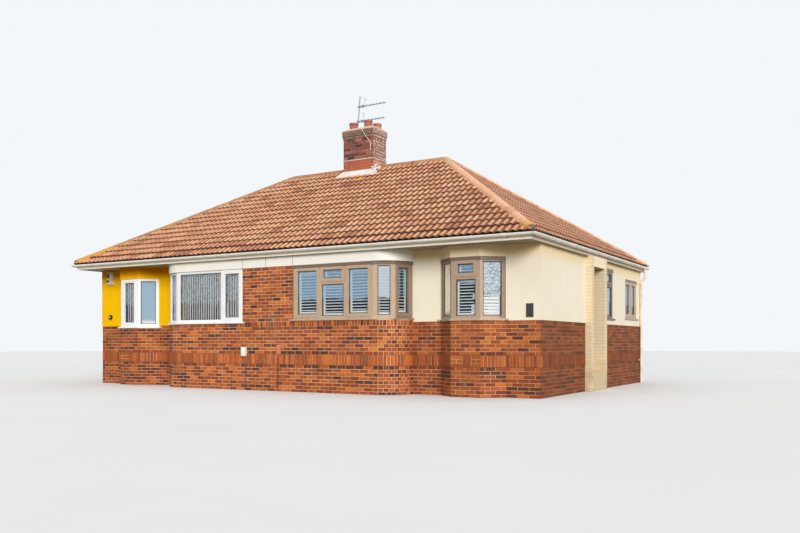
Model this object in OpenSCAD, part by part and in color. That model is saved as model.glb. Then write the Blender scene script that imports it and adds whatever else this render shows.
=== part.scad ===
// A pair of joined bungalows under one hipped pantile roof: two mirrored houses that share a party wall, a
// chimney and one long front. The middle part of the front stands forward and has round corners, and each
// outer part has a three-sided bow window. Millimetres, Z up, Z = 0 at the lowest ground, X = 0 on the party
// line, Y = 0 under the ridge, the front towards -Y.

/* [Plan] */
// Width of one house, from the party line to the brick face of the side wall
house_w = 6235; // [6100:5:7000]
// Depth from the front of the middle part to the rear wall face
house_d = 8150; // [7800:10:9000]
// How far the middle part stands in front of the outer parts
setback = 630; // [620:5:800]
// Distance from the party line to each end of the middle part
middle_half = 3412; // [3300:2:3500]
// Radius of the round corners of the middle part
round_r = 600; // [500:10:610]
// Half the width of the brick pier between the two big bay windows
pier_half = 726; // [600:2:800]
// Thickness of the outer walls
wall_t = 280; // [240:5:300]
// Thickness of the party wall
party_t = 225; // [200:5:300]
// Thickness of the render that stands proud of the brick
render_t = 15; // [10:1:25]
// How far the white band over the bays stands proud of the brick
band_out = 20; // [10:1:30]

/* [Bow windows] */
// Distance from the face of the side wall to the middle of a bow window
bow_in = 1435; // [1380:5:1500]
// Width of a bow window across its opening
bow_w = 1446; // [1300:2:1500]
// How far a bow window stands out
bow_out = 359; // [250:1:400]
// Run of each splayed side along the wall
bow_splay = 404; // [350:2:450]

/* [Heights] */
// Floor level above the lowest ground
floor_h = 600; // [450:10:750]
// Height of one course of bricks with its joint
course = 76.2; // [75:0.1:78]
// Height of the band of upright bricks at floor level
soldier_h = 232; // [225:1:240]
// Height of the brick-on-edge course under the bay sills
edge_h = 117; // [110:1:122]
// Courses between the upright bricks and the render
base_courses = 9; // [8:1:10]
// Courses between the upright bricks and the brick-on-edge course
bay_courses = 8; // [7:1:9]
// Courses from the bay sills up to the window heads
window_courses = 16; // [14:1:16]
// Height of the wall tops above the floor
wall_h = 2420; // [2380:10:2700]

/* [Roof] */
// Gap between the wall face and the face of the fascia
eaves_out = 105; // [90:5:150]
// How far the tiles reach past the fascia, over the gutter
tile_lap = 50; // [40:1:60]
// Half the length of the ridge
ridge_half = 2400; // [1800:10:3000]
// Height of the ridge line above the floor, without its tiles
ridge_h = 5100; // [4800:10:5600]
// Thickness of the roof build-up of tiles, battens and rafters, measured upright
roof_t = 163; // [120:1:200]
// Depth of the ceiling joists, which carry the roof and the eaves
joist_h = 100; // [80:5:150]
// Thickness of the tile edge over the gutter
tile_edge = 30; // [20:1:40]
// Thickness of the fascia board
fascia_t = 25; // [18:1:30]
// Thickness of the soffit board
soffit_t = 12; // [9:1:18]
// How far the fascia hangs below the soffit
fascia_drop = 12; // [5:1:25]
// Width of the half-round gutter
gutter_w = 114; // [100:2:120]
// Wall thickness of the gutter
gutter_t = 4; // [3:0.5:5]
// Radius of the half-round ridge and hip tiles
ridge_tile_r = 105; // [90:5:110]
// Drop of the axis of the ridge and hip tiles below the line that they cover
ridge_tile_drop = 30; // [20:1:35]

/* [Chimney] */
// Width of the chimney stack along the front
stack_w = 940; // [800:5:1000]
// Depth of the chimney stack
stack_d = 620; // [500:5:700]
// Distance of the middle of the stack in front of the ridge
stack_fwd = 50; // [0:5:100]
// Height of the top of the brickwork above the floor
stack_h = 6110; // [6000:10:6500]
// Courses that step out at the top of the stack
corbel_courses = 3; // [2:1:4]
// How far the top courses step out
corbel_out = 28; // [20:1:40]
// Height of the mortar bed that holds the pots
flaunch_h = 55; // [40:5:80]
// Width of the chimney breast from front to back
breast_d = 1300; // [1100:10:1500]
// Outer radius of a chimney pot
pot_r = 120; // [100:5:130]
// Height of the plain chimney pot from its foot in the mortar
pot_h = 180; // [150:5:350]
// Height of the low pot behind it
low_pot_h = 155; // [90:5:200]
// Wall thickness of a chimney pot
pot_t = 22; // [18:1:30]
// Width of the mortar fillet where the stack meets the tiles
fillet_w = 70; // [40:5:90]
// Height of that fillet above the roof slab
fillet_h = 75; // [40:5:80]
// Width of the deeper fillet across the front of the stack
apron_w = 110; // [80:5:150]
// Height of that front fillet against the stack
apron_h = 155; // [100:5:200]
// How far its lower edge runs on past the left side of the stack
apron_side = 200; // [100:10:300]

/* [Windows] */
// Depth of a window frame from face to face
frame_d = 70; // [60:1:80]
// Width of a frame member beside a wall
frame_w = 55; // [45:1:65]
// Width of a mullion between two lights
mullion_w = 45; // [40:1:60]
// Height of the bottom member above the sill
foot_w = 40; // [35:1:60]
// Height of the top member
head_w = 75; // [60:1:100]
// Height of the top member of the white windows at the front
white_head_w = 40; // [35:1:100]
// How far the left bow window sits below the right one
bow_drop = 60; // [45:1:70]
// How far the sill of the left bay window sits below the right one
bay_drop = 36; // [0:1:60]
// Width of the corner post on the straight side of a bay
corner_w = 70; // [60:1:90]
// Width of a corner post between two angled lights
post_w = 40; // [35:1:60]
// Width of the corner post beside the middle light of a bow
bow_post_w = 80; // [60:1:100]
// Width of the sash round an opening light
stile_w = 58; // [45:1:65]
// Width of the bead round a fixed light
bead_w = 15; // [10:1:25]
// How far a sash stands out of its frame
sash_out = 14; // [8:1:20]
// How far a sash laps over its frame
sash_lap = 8; // [5:1:12]
// Thickness of the glass
glass_t = 24; // [20:1:28]
// How far a frame is set back from the brick face
frame_back = 12; // [8:1:20]
// Thickness of a window sill
sill_t = 36; // [30:1:45]
// How far a sill stands out past its frame
sill_out = 50; // [40:1:60]
// How far the ends of a sill run past its window
horn = 60; // [20:1:80]
// Height of the dark trim along the heads of the brown windows
trim_h = 68; // [30:1:75]
// How far that trim stands out past its frame
trim_out = 24; // [18:1:28]
// Height of a top-hung light
fan_h = 305; // [280:5:400]
// Middle of the first mullion of the right-hand bay, from the pier
bay_light_1 = 725; // [680:5:760]
// Width of the second light of that bay, between the middles of its mullions
bay_light_2 = 657; // [600:1:680]
// Middle of the mullion of the left-hand bay, from the pier
left_light_1 = 637; // [560:1:760]
// Thickness of a shutter behind a window
shutter_t = 28; // [20:1:35]
// Thickness of the blinds behind a window
blind_t = 12; // [8:1:20]

/* [Sides and rear] */
// Distance from the ridge line forward to the front edge of the porch surround
porch_front = 705; // [600:5:800]
// Width of the porch surround along the side wall
porch_w = 1160; // [1100:5:1250]
// Width of the porch opening
porch_open_w = 820; // [760:5:860]
// How far the porch surround stands out from the brick face
porch_out = 155; // [120:5:200]
// Height of the porch step above the lowest ground
porch_step = 430; // [300:10:560]
// Thickness of the front door with its frame
door_t = 70; // [60:1:80]
// Distance from the ridge line back to the hall window
hall_y = 865; // [800:5:1000]
// Width of the hall window
hall_w = 630; // [500:5:700]
// Sill height of the hall window above the floor
hall_sill = 1028; // [960:2:1150]
// Head height of the hall window above the floor
hall_head = 2262; // [2150:2:2300]
// Distance from the ridge line back to the small side window
small_y = 2540; // [2300:5:2700]
// Width of the small side window
small_w = 1190; // [1000:5:1250]
// Sill height of the small side window above the floor
small_sill = 1080; // [960:2:1200]
// Head height of the small side window above the floor
small_head = 2110; // [2050:2:2250]
// Distance from the party line to the small rear window
rear_small_x = 1100; // [900:10:1300]
// Distance from the party line to the large rear window
rear_large_x = 3300; // [3100:10:3500]
// Width of the large rear window
rear_large_w = 1800; // [1500:5:2000]

/* [Fittings] */
// Outer radius of a downpipe
pipe_r = 34; // [30:1:38]
// Distance of a downpipe from the rear corner
pipe_in = 90; // [70:5:150]
// Width of the alarm box
alarm_w = 250; // [220:5:300]
// Height of the alarm box
alarm_h = 350; // [250:5:370]
// Depth of the alarm box
alarm_d = 75; // [50:5:100]
// Radius of the round wall lamp
lamp_r = 65; // [50:1:80]
// Width of the bare plaque beside the right bow window
plaque_w = 145; // [110:5:170]
// Height of the plaque
plaque_h = 265; // [200:5:300]
// Distance of the middle of the alarm box from the left front corner
alarm_in = 359; // [300:1:420]
// Height of the foot of the alarm box above the floor
alarm_z = 2010; // [1900:5:2050]
// Distance of the lamp from the left front corner
lamp_in = 339; // [250:1:420]
// Height of the lamp above the floor
lamp_z = 1157; // [1000:1:1400]
// Distance of the middle of the plaque from the right front corner
plaque_in = 210; // [160:1:300]
// Height of the foot of the plaque above the floor
plaque_z = 978; // [940:1:1300]
// Width of the white meter box on the pier
meter_w = 190; // [150:1:250]
// Height of the meter box
meter_h = 207; // [150:1:250]
// Height of its foot above the floor
meter_z = 173; // [100:1:300]
// Width of the clay flue box on the pier
flue_w = 160; // [120:1:200]
// Height of the flue box
flue_h = 200; // [150:1:250]
// Height of its foot above the floor
flue_z = 226; // [100:1:300]
// Depth of both boxes
box_d = 90; // [60:1:110]
// Radius of the aerial mast
mast_r = 18; // [14:1:22]
// Height of the mast top above the floor
mast_top = 7220; // [6900:10:7400]
// How far the mast leans over between its foot and its top
mast_lean = 150; // [0:10:200]
// Distance of the upper aerial below the mast top
boom_drop = 280; // [200:10:400]
// Distance between the two aerials
boom_gap = 400; // [300:10:450]
// Length of an aerial boom
boom_l = 840; // [700:10:1000]

/* [Hidden] */
$fn = 96;

past = 1; // a cut reaches this far past a face
far = 20000; // longer than the building

half_d = house_d / 2;
front_y = setback - half_d; // brick face of the outer front walls
floor_z = floor_h;
base_top = floor_z + soldier_h + base_courses * course;
bay_sill = floor_z + soldier_h + bay_courses * course + edge_h;
head_z = bay_sill + window_courses * course;
wall_top = floor_z + wall_h;
plate_z = wall_top + joist_h;

roof_x = house_w + eaves_out + tile_lap;
roof_y = half_d + eaves_out + tile_lap;
edge_z = plate_z + tile_edge;
ridge_z = floor_z + ridge_h;
slope_y = (ridge_z - edge_z) / roof_y; // rise for each millimetre along the front and rear slopes
slope_x = (ridge_z - edge_z) / (roof_x - ridge_half);

bow_x = house_w - bow_in;
bow_half = bow_w / 2;
arc_r = round_r - frame_back; // corners of the bay windows lie on this circle
mid_x = middle_half - round_r; // axis of the round corner
mid_y = round_r - half_d;

rear_small_w = small_w;
rear_sill = small_sill;
rear_head = small_head;
stack_top = floor_z + stack_h;
breast_top = (ridge_z + wall_top) / 2; // the wide base of the stack, inside the loft

// Unit normal on the inner side of a stretch of wall that runs from a to b
function inner_normal(a, b) = [a.y - b.y, b.x - a.x] / norm(b - a);

// A path moved inwards by t, with mitred corners
function moved(path, t) = [for (i = [0 : len(path) - 1])
    let (n1 = inner_normal(path[max(i - 1, 0)], path[max(i, 1)]),
        last = len(path) - 1,
        n2 = inner_normal(path[min(i, last - 1)], path[min(i + 1, last)]))
    path[i] + t * (n1 + n2) / (1 + n1 * n2)];

// A path in reverse order
function turned(path) = [for (i = [len(path) - 1 : -1 : 0]) path[i]];

// A strip of wall along a path, from t0 to t1 inwards, between two heights
module strip(path, t0, t1, z0, z1) {
    translate([0, 0, z0]) linear_extrude(z1 - z0) polygon(concat(moved(path, t0), turned(moved(path, t1))));
}

// Children for the right house, or mirrored for the left one
module house(side) {
    mirror([side < 0 ? 1 : 0, 0, 0]) children();
}

// A block between two corners
module block(a, b) {
    translate(a) cube(b - a);
}

// Outer face of the front wall of one outer part, with its bow
bow_path = [[bow_x - bow_half, front_y], [bow_x - bow_half + bow_splay, front_y - bow_out],
    [bow_x + bow_half - bow_splay, front_y - bow_out], [bow_x + bow_half, front_y]];
function outer_path(x0) = concat([[x0, front_y]], bow_path, [[house_w, front_y]]);

// Face of a bay window: straight, then two flat lights on the round corner, then the short return
bay_path = [[pier_half, frame_back - half_d], [mid_x, frame_back - half_d],
    [mid_x + arc_r * sin(45), mid_y - arc_r * cos(45)], [mid_x + arc_r, mid_y],
    [mid_x + arc_r, front_y - render_t]];

// Middle part seen from above, up to the face of the outer front walls, grown by g
module middle_plan(g) {
    for (s = [0, 1]) mirror([s, 0]) {
        translate([0, -half_d - g]) square([mid_x, setback + g]);
        intersection() {
            translate([mid_x, mid_y]) circle(round_r + g);
            translate([mid_x, mid_y - 2 * round_r]) square(2 * round_r);
        }
        translate([mid_x, mid_y]) square([round_r + g, front_y - mid_y]);
    }
}

// One round end of the middle part as a wall of thickness t1 - t0, from x0 to the outer front wall
module middle_wall_plan(x0, t0, t1) {
    translate([x0, t0 - half_d]) square([mid_x - x0, t1 - t0]);
    intersection() {
        translate([mid_x, mid_y]) difference() {
            circle(round_r - t0);
            circle(round_r - t1);
        }
        translate([mid_x, mid_y - 2 * round_r]) square(2 * round_r);
    }
    translate([middle_half - t1, mid_y]) square([t1 - t0, front_y - mid_y]);
}

// Face of a bow window, and the same face run on past its jambs
bow_face = moved(bow_path, frame_back);
bow_run_on = [bow_splay, -bow_out] * wall_t / norm([bow_splay, bow_out]);
bow_frame_path = [bow_face[0] - bow_run_on, bow_face[1], bow_face[2],
    bow_face[3] + [bow_run_on.x, -bow_run_on.y]];

// Undersides of the sills and heads of the front windows, which sit lower on the left
function bay_base(side) = bay_sill - (side < 0 ? bay_drop : 0);
function bow_base(side) = base_top - (side < 0 ? bow_drop : 0);
function bow_head(side) = head_z - (side < 0 ? bow_drop : 0);

// Heights of their frames above their sills, and of their top members
function bay_h(side) = head_z - bay_base(side) - sill_t;
bow_h = head_z - base_top - sill_t;
function top_w(side) = side < 0 ? white_head_w : head_w;

// A light is the space inside its frame members, as [start, end, bottom, top, opening], in millimetres along
// the window and above the sill. The kinds of light: 0 fixed, 1 opening, 2 fixed under a top-hung one.
function lights(kind, x0, x1, h, member = head_w) =
    let (fan = min(fan_h, h / 3), top = h - member)
    kind < 2 ? [[x0, x1, foot_w, top, kind == 1]]
    : [[x0, x1, foot_w, top - fan - mullion_w, false], [x0, x1, top - fan, top, true]];

// Glass of a light, inside its sash or its bead
function pane(l, g) = let (e = (l[4] ? stile_w : bead_w) - g) [l[0] + e, l[1] - e, l[2] + e, l[3] - e];

// Lights of one panel of a bay, numbered from the pier; the left and right houses differ
half_m = mullion_w / 2;
left_mullion = left_light_1;
mullion_1 = bay_light_1;
mullion_2 = bay_light_1 + bay_light_2;
function bay_panel(side, i, w) =
    let (h = bay_h(side), t = top_w(side))
    i == 1 ? lights(0, corner_w, w - corner_w, h, t)
    : i == 2 ? lights(side > 0 ? 1 : 0, post_w, w - post_w, h, t)
    : side < 0 ? concat(lights(1, frame_w, left_mullion - half_m, h, t),
        lights(0, left_mullion + half_m, w - corner_w, h, t))
    : concat(lights(1, frame_w, mullion_1 - half_m, h, t),
        lights(2, mullion_1 + half_m, mullion_2 - half_m, h, t),
        lights(1, mullion_2 + half_m, w - corner_w, h, t));

// Lights of one panel of a bow: fixed at the sides, and one that opens in the middle
function bow_panel(side, i, w) =
    let (t = top_w(side))
    i == 1 ? lights(side > 0 ? 2 : 1, bow_post_w, w - bow_post_w, bow_h, t)
    : lights(0, i == 0 ? corner_w : mullion_w, i == 0 ? w - mullion_w : w - corner_w, bow_h, t);

// Panes of a list of lights as boxes, from depth t0 to t1 and grown by g
module panes(list, t0, t1, g) {
    for (l = list) let (q = pane(l, g)) translate([q[0], t0, q[2]]) cube([q[1] - q[0], t1 - t0, q[3] - q[2]]);
}

// Raised faces of the sashes of its opening lights
module sashes(list) {
    for (l = list) if (l[4]) translate([l[0] - sash_lap, -sash_out, l[2] - sash_lap])
        cube([l[1] - l[0] + 2 * sash_lap, sash_out + past, l[3] - l[2] + 2 * sash_lap]);
}

// Children are placed with X along the panel from a to b, Y inwards and Z from z0
module at_panel(a, b, z0) {
    translate([a.x, a.y, z0]) rotate([0, 0, atan2(b.y - a.y, b.x - a.x)]) children();
}

// Panes of the bay window on one side
module bay_panes(side, t0, t1, g) {
    for (i = [0 : 2]) at_panel(bay_path[i], bay_path[i + 1], bay_base(side) + sill_t)
        panes(bay_panel(side, i, norm(bay_path[i + 1] - bay_path[i])), t0, t1, g);
}

// Panes of the bow window on one side
module bow_panes(side, t0, t1, g) {
    for (i = [0 : 2]) at_panel(bow_face[i], bow_face[i + 1], bow_base(side) + sill_t)
        panes(bow_panel(side, i, norm(bow_face[i + 1] - bow_face[i])), t0, t1, g);
}

// Windows in the side and rear walls of one house, as [corner a, corner b, sill height, head height, kinds]
back_windows = [
    [[house_w, hall_y], [house_w, hall_y + hall_w], hall_sill, hall_head, [2]],
    [[house_w, small_y], [house_w, small_y + small_w], small_sill, small_head, [1, 1]],
    [[rear_small_x + rear_small_w, half_d], [rear_small_x, half_d], rear_sill, rear_head, [2, 2]],
    [[rear_large_x + rear_large_w, half_d], [rear_large_x, half_d], rear_sill, rear_head, [1, 0, 1]]];
function win_w(win) = norm(win[1] - win[0]);
function win_h(win) = win[3] - win[2];

// Lights of one of those windows, side by side
function back_lights(win) =
    let (n = len(win[4]), pitch = (win_w(win) - 2 * frame_w + mullion_w) / n)
    [for (i = [0 : n - 1], l = lights(win[4][i], frame_w + i * pitch, frame_w + (i + 1) * pitch - mullion_w,
        win_h(win) - sill_t)) l];

// Children are placed with X along a window, Y inwards from the brick face and Z from its sill
module at_window(win) {
    at_panel(win[0], win[1], floor_z + win[2]) children();
}

// Panes of one of those windows
module back_panes(win, t0, t1, g) {
    at_window(win) translate([0, frame_back, sill_t]) panes(back_lights(win), t0, t1, g);
}

// Frame, sashes, sill and head trim of a side or rear window
module back_window(win, trim) {
    w = win_w(win);
    difference() {
        at_window(win) {
            translate([0, frame_back, sill_t]) cube([w, frame_d, win_h(win) - sill_t]);
            translate([0, frame_back, sill_t]) sashes(back_lights(win));
            translate([0, -render_t, 0]) cube([w, render_t + frame_back + frame_d, sill_t]);
            translate([-horn, -sill_out, 0]) cube([w + 2 * horn, sill_out - render_t, sill_t]);
            if (trim > 0) translate([0, frame_back - trim, win_h(win) - trim_h])
                cube([w, trim + past, trim_h]);
        }
        back_panes(win, -sash_out - past, frame_d + past, 0);
    }
}

// Hole for one side or rear window, through the whole wall
module back_hole(win) {
    deep = wall_t + render_t + 2 * past;
    at_window(win) translate([0, -render_t - past, 0]) cube([win_w(win), deep, win_h(win)]);
}

// Front slope or gable-wise section of the roof: from the eaves to the ridge, seated flat on the joists
function section(reach, top, slope, extra, thick) = [
    [-reach, plate_z], [-reach, edge_z + extra], [-top, ridge_z + extra], [-top, ridge_z - thick],
    [-reach + (plate_z - edge_z + thick) / slope, plate_z]];

// Plan of the front slope, or of the right hip, as seen from above
front_plan = [[-roof_x, -roof_y], [roof_x, -roof_y], [ridge_half, 0], [-ridge_half, 0]];
hip_plan = [[roof_x, -roof_y], [roof_x, roof_y], [ridge_half, 0]];

// Front slope as a slab
module front_slab() {
    intersection() {
        rotate([90, 0, 90]) linear_extrude(far, center = true)
            polygon(section(roof_y, 0, slope_y, 0, roof_t));
        linear_extrude(far) polygon(front_plan);
    }
}

// Right hip as a slab
module hip_slab() {
    intersection() {
        mirror([1, 0, 0]) rotate([90, 0, 0]) linear_extrude(far, center = true)
            polygon(section(roof_x, ridge_half, slope_x, 0, roof_t));
        linear_extrude(far) polygon(hip_plan);
    }
}

// Space that the chimney stack takes, between two heights
module stack_space(z0, z1, grow) {
    translate([-stack_w / 2 - grow, -stack_fwd - stack_d / 2 - grow, z0])
        cube([stack_w + 2 * grow, stack_d + 2 * grow, z1 - z0]);
}

// Brick pier between the two bays
module centre_pier() {
    color("peru") block([-pier_half, -half_d, 0], [pier_half, wall_t - half_d, head_z]);
}

// Curved brick walls under both bay windows
module bay_walls() {
    color("sienna") for (side = [-1, 1]) house(side)
        linear_extrude(bay_base(side)) middle_wall_plan(pier_half, 0, wall_t);
}

// Space of one bow window, right through the wall
module bow_space(side) {
    block([bow_x - bow_half, front_y - far, bow_base(side)],
        [bow_x + bow_half, front_y + far, bow_head(side)]);
}

// Brick walls under the render at the front of both outer parts, with the feet of the bows
module front_base() {
    color("sienna") for (side = [-1, 1]) house(side) difference() {
        strip(outer_path(middle_half - wall_t), 0, wall_t, 0, base_top);
        bow_space(side);
    }
}

// Rendered wall at the front of an outer part, round the bow window
module front_wall(side) {
    color(side < 0 ? "gold" : "wheat") house(side) difference() {
        union() {
            strip(outer_path(middle_half - wall_t), 0, wall_t, base_top, wall_top);
            strip(outer_path(middle_half), -render_t, wall_t, base_top, wall_top);
            block([house_w, front_y - render_t, base_top], [house_w + render_t, front_y + wall_t, wall_top]);
        }
        translate([0, 0, -past]) bow_space(side);
        bow_space(side);
    }
}

porch_y0 = -porch_front;
porch_y1 = porch_w - porch_front;
side_y0 = front_y + wall_t;
side_y1 = half_d - wall_t;
side_in = house_w - wall_t;

// Brick walls under the render along both sides, each in two lengths beside the porch
module side_base() {
    color("sienna") for (side = [-1, 1]) house(side) {
        block([side_in, side_y0, 0], [house_w, porch_y0, base_top]);
        block([side_in, porch_y1, 0], [house_w, side_y1, base_top]);
    }
}

// Rendered side wall, in two lengths beside the porch, with the side windows cut through
module side_wall(side) {
    color(side < 0 ? "gold" : "wheat") house(side) difference() {
        union() {
            block([side_in, side_y0, base_top], [house_w + render_t, porch_y0, wall_top]);
            block([side_in, porch_y1, base_top], [house_w + render_t, side_y1, wall_top]);
        }
        for (i = [0, 1]) back_hole(back_windows[i]);
    }
}

// Brick wall under the render along the whole rear
module rear_base() {
    color("sienna") block([-house_w, side_y1, 0], [house_w, half_d, base_top]);
}

// Rendered rear wall of one house with two windows
module rear_wall(side) {
    color(side < 0 ? "gold" : "wheat") house(side) difference() {
        block([0, side_y1, base_top], [house_w + render_t, half_d + render_t, wall_top]);
        for (i = [2, 3]) back_hole(back_windows[i]);
    }
}

// Party wall up to the rafters, with the chimney breast and the wide foot of the stack in the loft
module party_wall() {
    under = ridge_z - roof_t;
    color("silver") difference() {
        union() {
            rotate([90, 0, 90]) linear_extrude(party_t, center = true)
                polygon([[-side_y1, 0], [side_y1, 0], [side_y1, under - side_y1 * slope_y], [0, under],
                    [-side_y1, under - side_y1 * slope_y]]);
            translate([-stack_w / 2, -stack_fwd - breast_d / 2, 0]) cube([stack_w, breast_d, wall_top]);
            stack_space(wall_top - past, breast_top, 0);
        }
        stack_space(breast_top, far, 0);
    }
}

// White band over the bays, on its lintel, round both corners
module white_band() {
    color("white") translate([0, 0, head_z]) linear_extrude(wall_top - head_z) difference() {
        for (s = [-1, 1]) mirror([s < 0 ? 1 : 0, 0]) middle_wall_plan(0, -band_out, wall_t);
        for (s = [-1, 1]) mirror([s < 0 ? 1 : 0, 0])
            translate([middle_half, front_y - render_t]) square(far);
    }
}

// Frame, sill and head trim along a path
module window_frame(path, z0, z1, trim) {
    strip(path, 0, frame_d, z0 + sill_t, z1);
    strip(path, -sill_out, frame_d, z0, z0 + sill_t);
    if (trim > 0) strip(path, -trim, past, z1 - trim_h, z1);
}

// Window of a bay: a straight run and two lights round the corner, with the end of its sill on the pier
module bay_window(side) {
    foot = bay_base(side);
    color(side < 0 ? "white" : "tan") house(side) {
        difference() {
            union() {
                window_frame(bay_path, foot, head_z, side < 0 ? 0 : trim_out);
                for (i = [0 : 2]) at_panel(bay_path[i], bay_path[i + 1], foot + sill_t)
                    sashes(bay_panel(side, i, norm(bay_path[i + 1] - bay_path[i])));
            }
            bay_panes(side, -sash_out - past, frame_d + past, 0);
        }
        block([pier_half - horn, frame_back - sill_out - half_d, foot],
            [pier_half + past, -half_d, foot + sill_t]);
    }
}

// Window of a bow: three flat sides between the jambs, with the ends of its sill in front of the render
module bow_window(side) {
    foot = bow_base(side);
    color(side < 0 ? "white" : "tan") house(side) difference() {
        union() {
            intersection() {
                window_frame(bow_frame_path, foot, bow_head(side), side < 0 ? 0 : trim_out);
                bow_space(side);
            }
            for (i = [0 : 2]) at_panel(bow_face[i], bow_face[i + 1], foot + sill_t)
                sashes(bow_panel(side, i, norm(bow_face[i + 1] - bow_face[i])));
            for (s = [-1, 1]) translate([bow_x + s * (bow_half + horn / 2 - past / 2), front_y - render_t, 0])
                block([-horn / 2 - past / 2, frame_back - sill_out, foot],
                    [horn / 2 + past / 2, side < 0 ? render_t : 0, foot + sill_t]);
        }
        bow_panes(side, -sash_out - past, frame_d + past, 0);
    }
}

// Windows in the side and rear walls of one house
module back_window_set(side) {
    color(side < 0 ? "white" : "tan") house(side)
        for (win = back_windows) back_window(win, side < 0 ? 0 : trim_out);
}

// All the panes of both houses, each in the middle of its frame
module glass() {
    t0 = (frame_d - glass_t) / 2;
    color("lightblue") for (side = [-1, 1]) house(side) {
        bay_panes(side, t0, t0 + glass_t, 0);
        bow_panes(side, t0, t0 + glass_t, 0);
        for (win = back_windows) back_panes(win, t0, t0 + glass_t, 0);
    }
}

seat = 12; // shutters and blinds lap this far over the frame that they stand against

// White shutters behind the front windows and the hall window of the right-hand house
module shutters() {
    color("whitesmoke") {
        bay_panes(1, frame_d, frame_d + shutter_t, seat);
        bow_panes(1, frame_d, frame_d + shutter_t, seat);
        back_panes(back_windows[0], frame_d, frame_d + shutter_t, seat);
    }
}

// Blinds behind the front windows of the left-hand house and the small side window of the other
module blinds() {
    color("gainsboro") {
        house(-1) bay_panes(-1, frame_d, frame_d + blind_t, seat);
        house(-1) bow_panes(-1, frame_d, frame_d + blind_t, seat);
        back_panes(back_windows[1], frame_d, frame_d + blind_t, seat);
    }
}

porch_jamb = (porch_w - porch_open_w) / 2;
door_y0 = porch_y0 + porch_jamb;
door_y1 = porch_y1 - porch_jamb;
soffit_z = wall_top - soffit_t;

// Painted brick porch surround that lines the doorway, with its step
module porch(side) {
    color(side < 0 ? "gold" : "cornsilk") house(side) difference() {
        union() {
            block([side_in, porch_y0, 0], [house_w, porch_y1, wall_top]);
            block([house_w - past, porch_y0, 0], [house_w + porch_out, porch_y1, soffit_z]);
        }
        block([side_in - past, door_y0, floor_z], [house_w + porch_out + past, door_y1, head_z]);
        block([side_in + door_t, door_y0, porch_step], [house_w + porch_out + past, door_y1, floor_z + past]);
    }
}

// Front doors, closed, at the back of the porches
module front_doors() {
    color("saddlebrown") for (side = [-1, 1]) house(side)
        block([side_in, door_y0, floor_z], [side_in + door_t, door_y1, head_z]);
}

floor_t = 200;

// Floors of both houses, out to the inner faces of the walls
module floor_slab() {
    color("burlywood") for (side = [-1, 1]) house(side) translate([0, 0, floor_z - floor_t])
        linear_extrude(floor_t) difference() {
            union() {
                translate([party_t / 2, wall_t - half_d]) square([mid_x - party_t / 2, front_y + half_d]);
                intersection() {
                    translate([mid_x, mid_y]) circle(round_r - wall_t);
                    translate([mid_x, mid_y - 2 * round_r]) square(2 * round_r);
                }
                translate([mid_x, mid_y]) square([round_r - wall_t, side_y0 - mid_y]);
                translate([party_t / 2, side_y0]) square([side_in - party_t / 2, side_y1 - side_y0]);
                polygon(concat(moved(outer_path(middle_half - wall_t), wall_t),
                    [[house_w - wall_t, side_y1], [middle_half, side_y1]]));
            }
            translate([0, -stack_fwd - breast_d / 2]) square([stack_w / 2, breast_d]);
            translate([side_in, -far / 2]) square(far);
        }
}

fascia_x = house_w + eaves_out; // outer faces of the fascia
fascia_y = half_d + eaves_out;
eaves_x = fascia_x - fascia_t; // the ceiling joists end here, at its inner faces
eaves_y = fascia_y - fascia_t;

// Ceiling joists and boards over both houses, out to the fascia
module ceiling() {
    color("linen") difference() {
        block([-eaves_x, -eaves_y, wall_top], [eaves_x, eaves_y, plate_z]);
        block([-party_t / 2, -side_y1, wall_top - past], [party_t / 2, side_y1, plate_z + past]);
        stack_space(wall_top - past, plate_z + past, 0);
    }
}

// Soffit boards under the eaves, cut round the walls
module soffit() {
    color("ivory") translate([0, 0, soffit_z]) linear_extrude(soffit_t) difference() {
        translate([-eaves_x, -eaves_y]) square(2 * [eaves_x, eaves_y]);
        translate([-house_w - render_t, front_y - render_t])
            square([2 * (house_w + render_t), half_d + 2 * render_t - front_y]);
        middle_plan(band_out);
        for (s = [-1, 1]) mirror([s < 0 ? 1 : 0, 0])
            polygon(concat(moved(outer_path(middle_half), -render_t),
                [[house_w, front_y + wall_t], [middle_half, front_y + wall_t]]));
    }
}

// Fascia boards all round
module fascia() {
    color("ivory") difference() {
        block([-fascia_x, -fascia_y, soffit_z - fascia_drop], [fascia_x, fascia_y, plate_z]);
        block([-eaves_x, -eaves_y, soffit_z - fascia_drop - past], [eaves_x, eaves_y, plate_z + past]);
    }
}

gutter_r = gutter_w / 2;
gutter_z = plate_z - 5; // top edge, just under the tiles

// One straight gutter at the front, mitred at its ends; half_x and half_y reach to the face of the fascia
module gutter_run(half_x, half_y) {
    outer_x = half_x + gutter_w + past;
    outer_y = half_y + gutter_w + past;
    intersection() {
        translate([0, -half_y - gutter_r, gutter_z]) rotate([90, 0, 90]) linear_extrude(far, center = true)
            difference() {
                circle(gutter_r);
                circle(gutter_r - gutter_t);
                translate([-gutter_w, 0]) square(2 * gutter_w);
            }
        translate([0, 0, gutter_z - gutter_w]) linear_extrude(2 * gutter_w)
            polygon([[-outer_x, -outer_y], [outer_x, -outer_y], [outer_x - outer_y / 2, -outer_y / 2],
                [outer_y / 2 - outer_x, -outer_y / 2]]);
    }
}

// Half-round gutter all round the eaves
module gutter() {
    color("white") for (s = [0, 1]) {
        mirror([0, s, 0]) gutter_run(fascia_x, fascia_y);
        mirror([s, 0, 0]) rotate([0, 0, 90]) gutter_run(fascia_y, fascia_x);
    }
}

// Round rod from one point to another
module rod(a, b, r) {
    d = b - a;
    translate(a) rotate([0, acos(d.z / norm(d)), atan2(d.y, d.x)]) cylinder(r = r, h = norm(d), $fn = 24);
}

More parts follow.
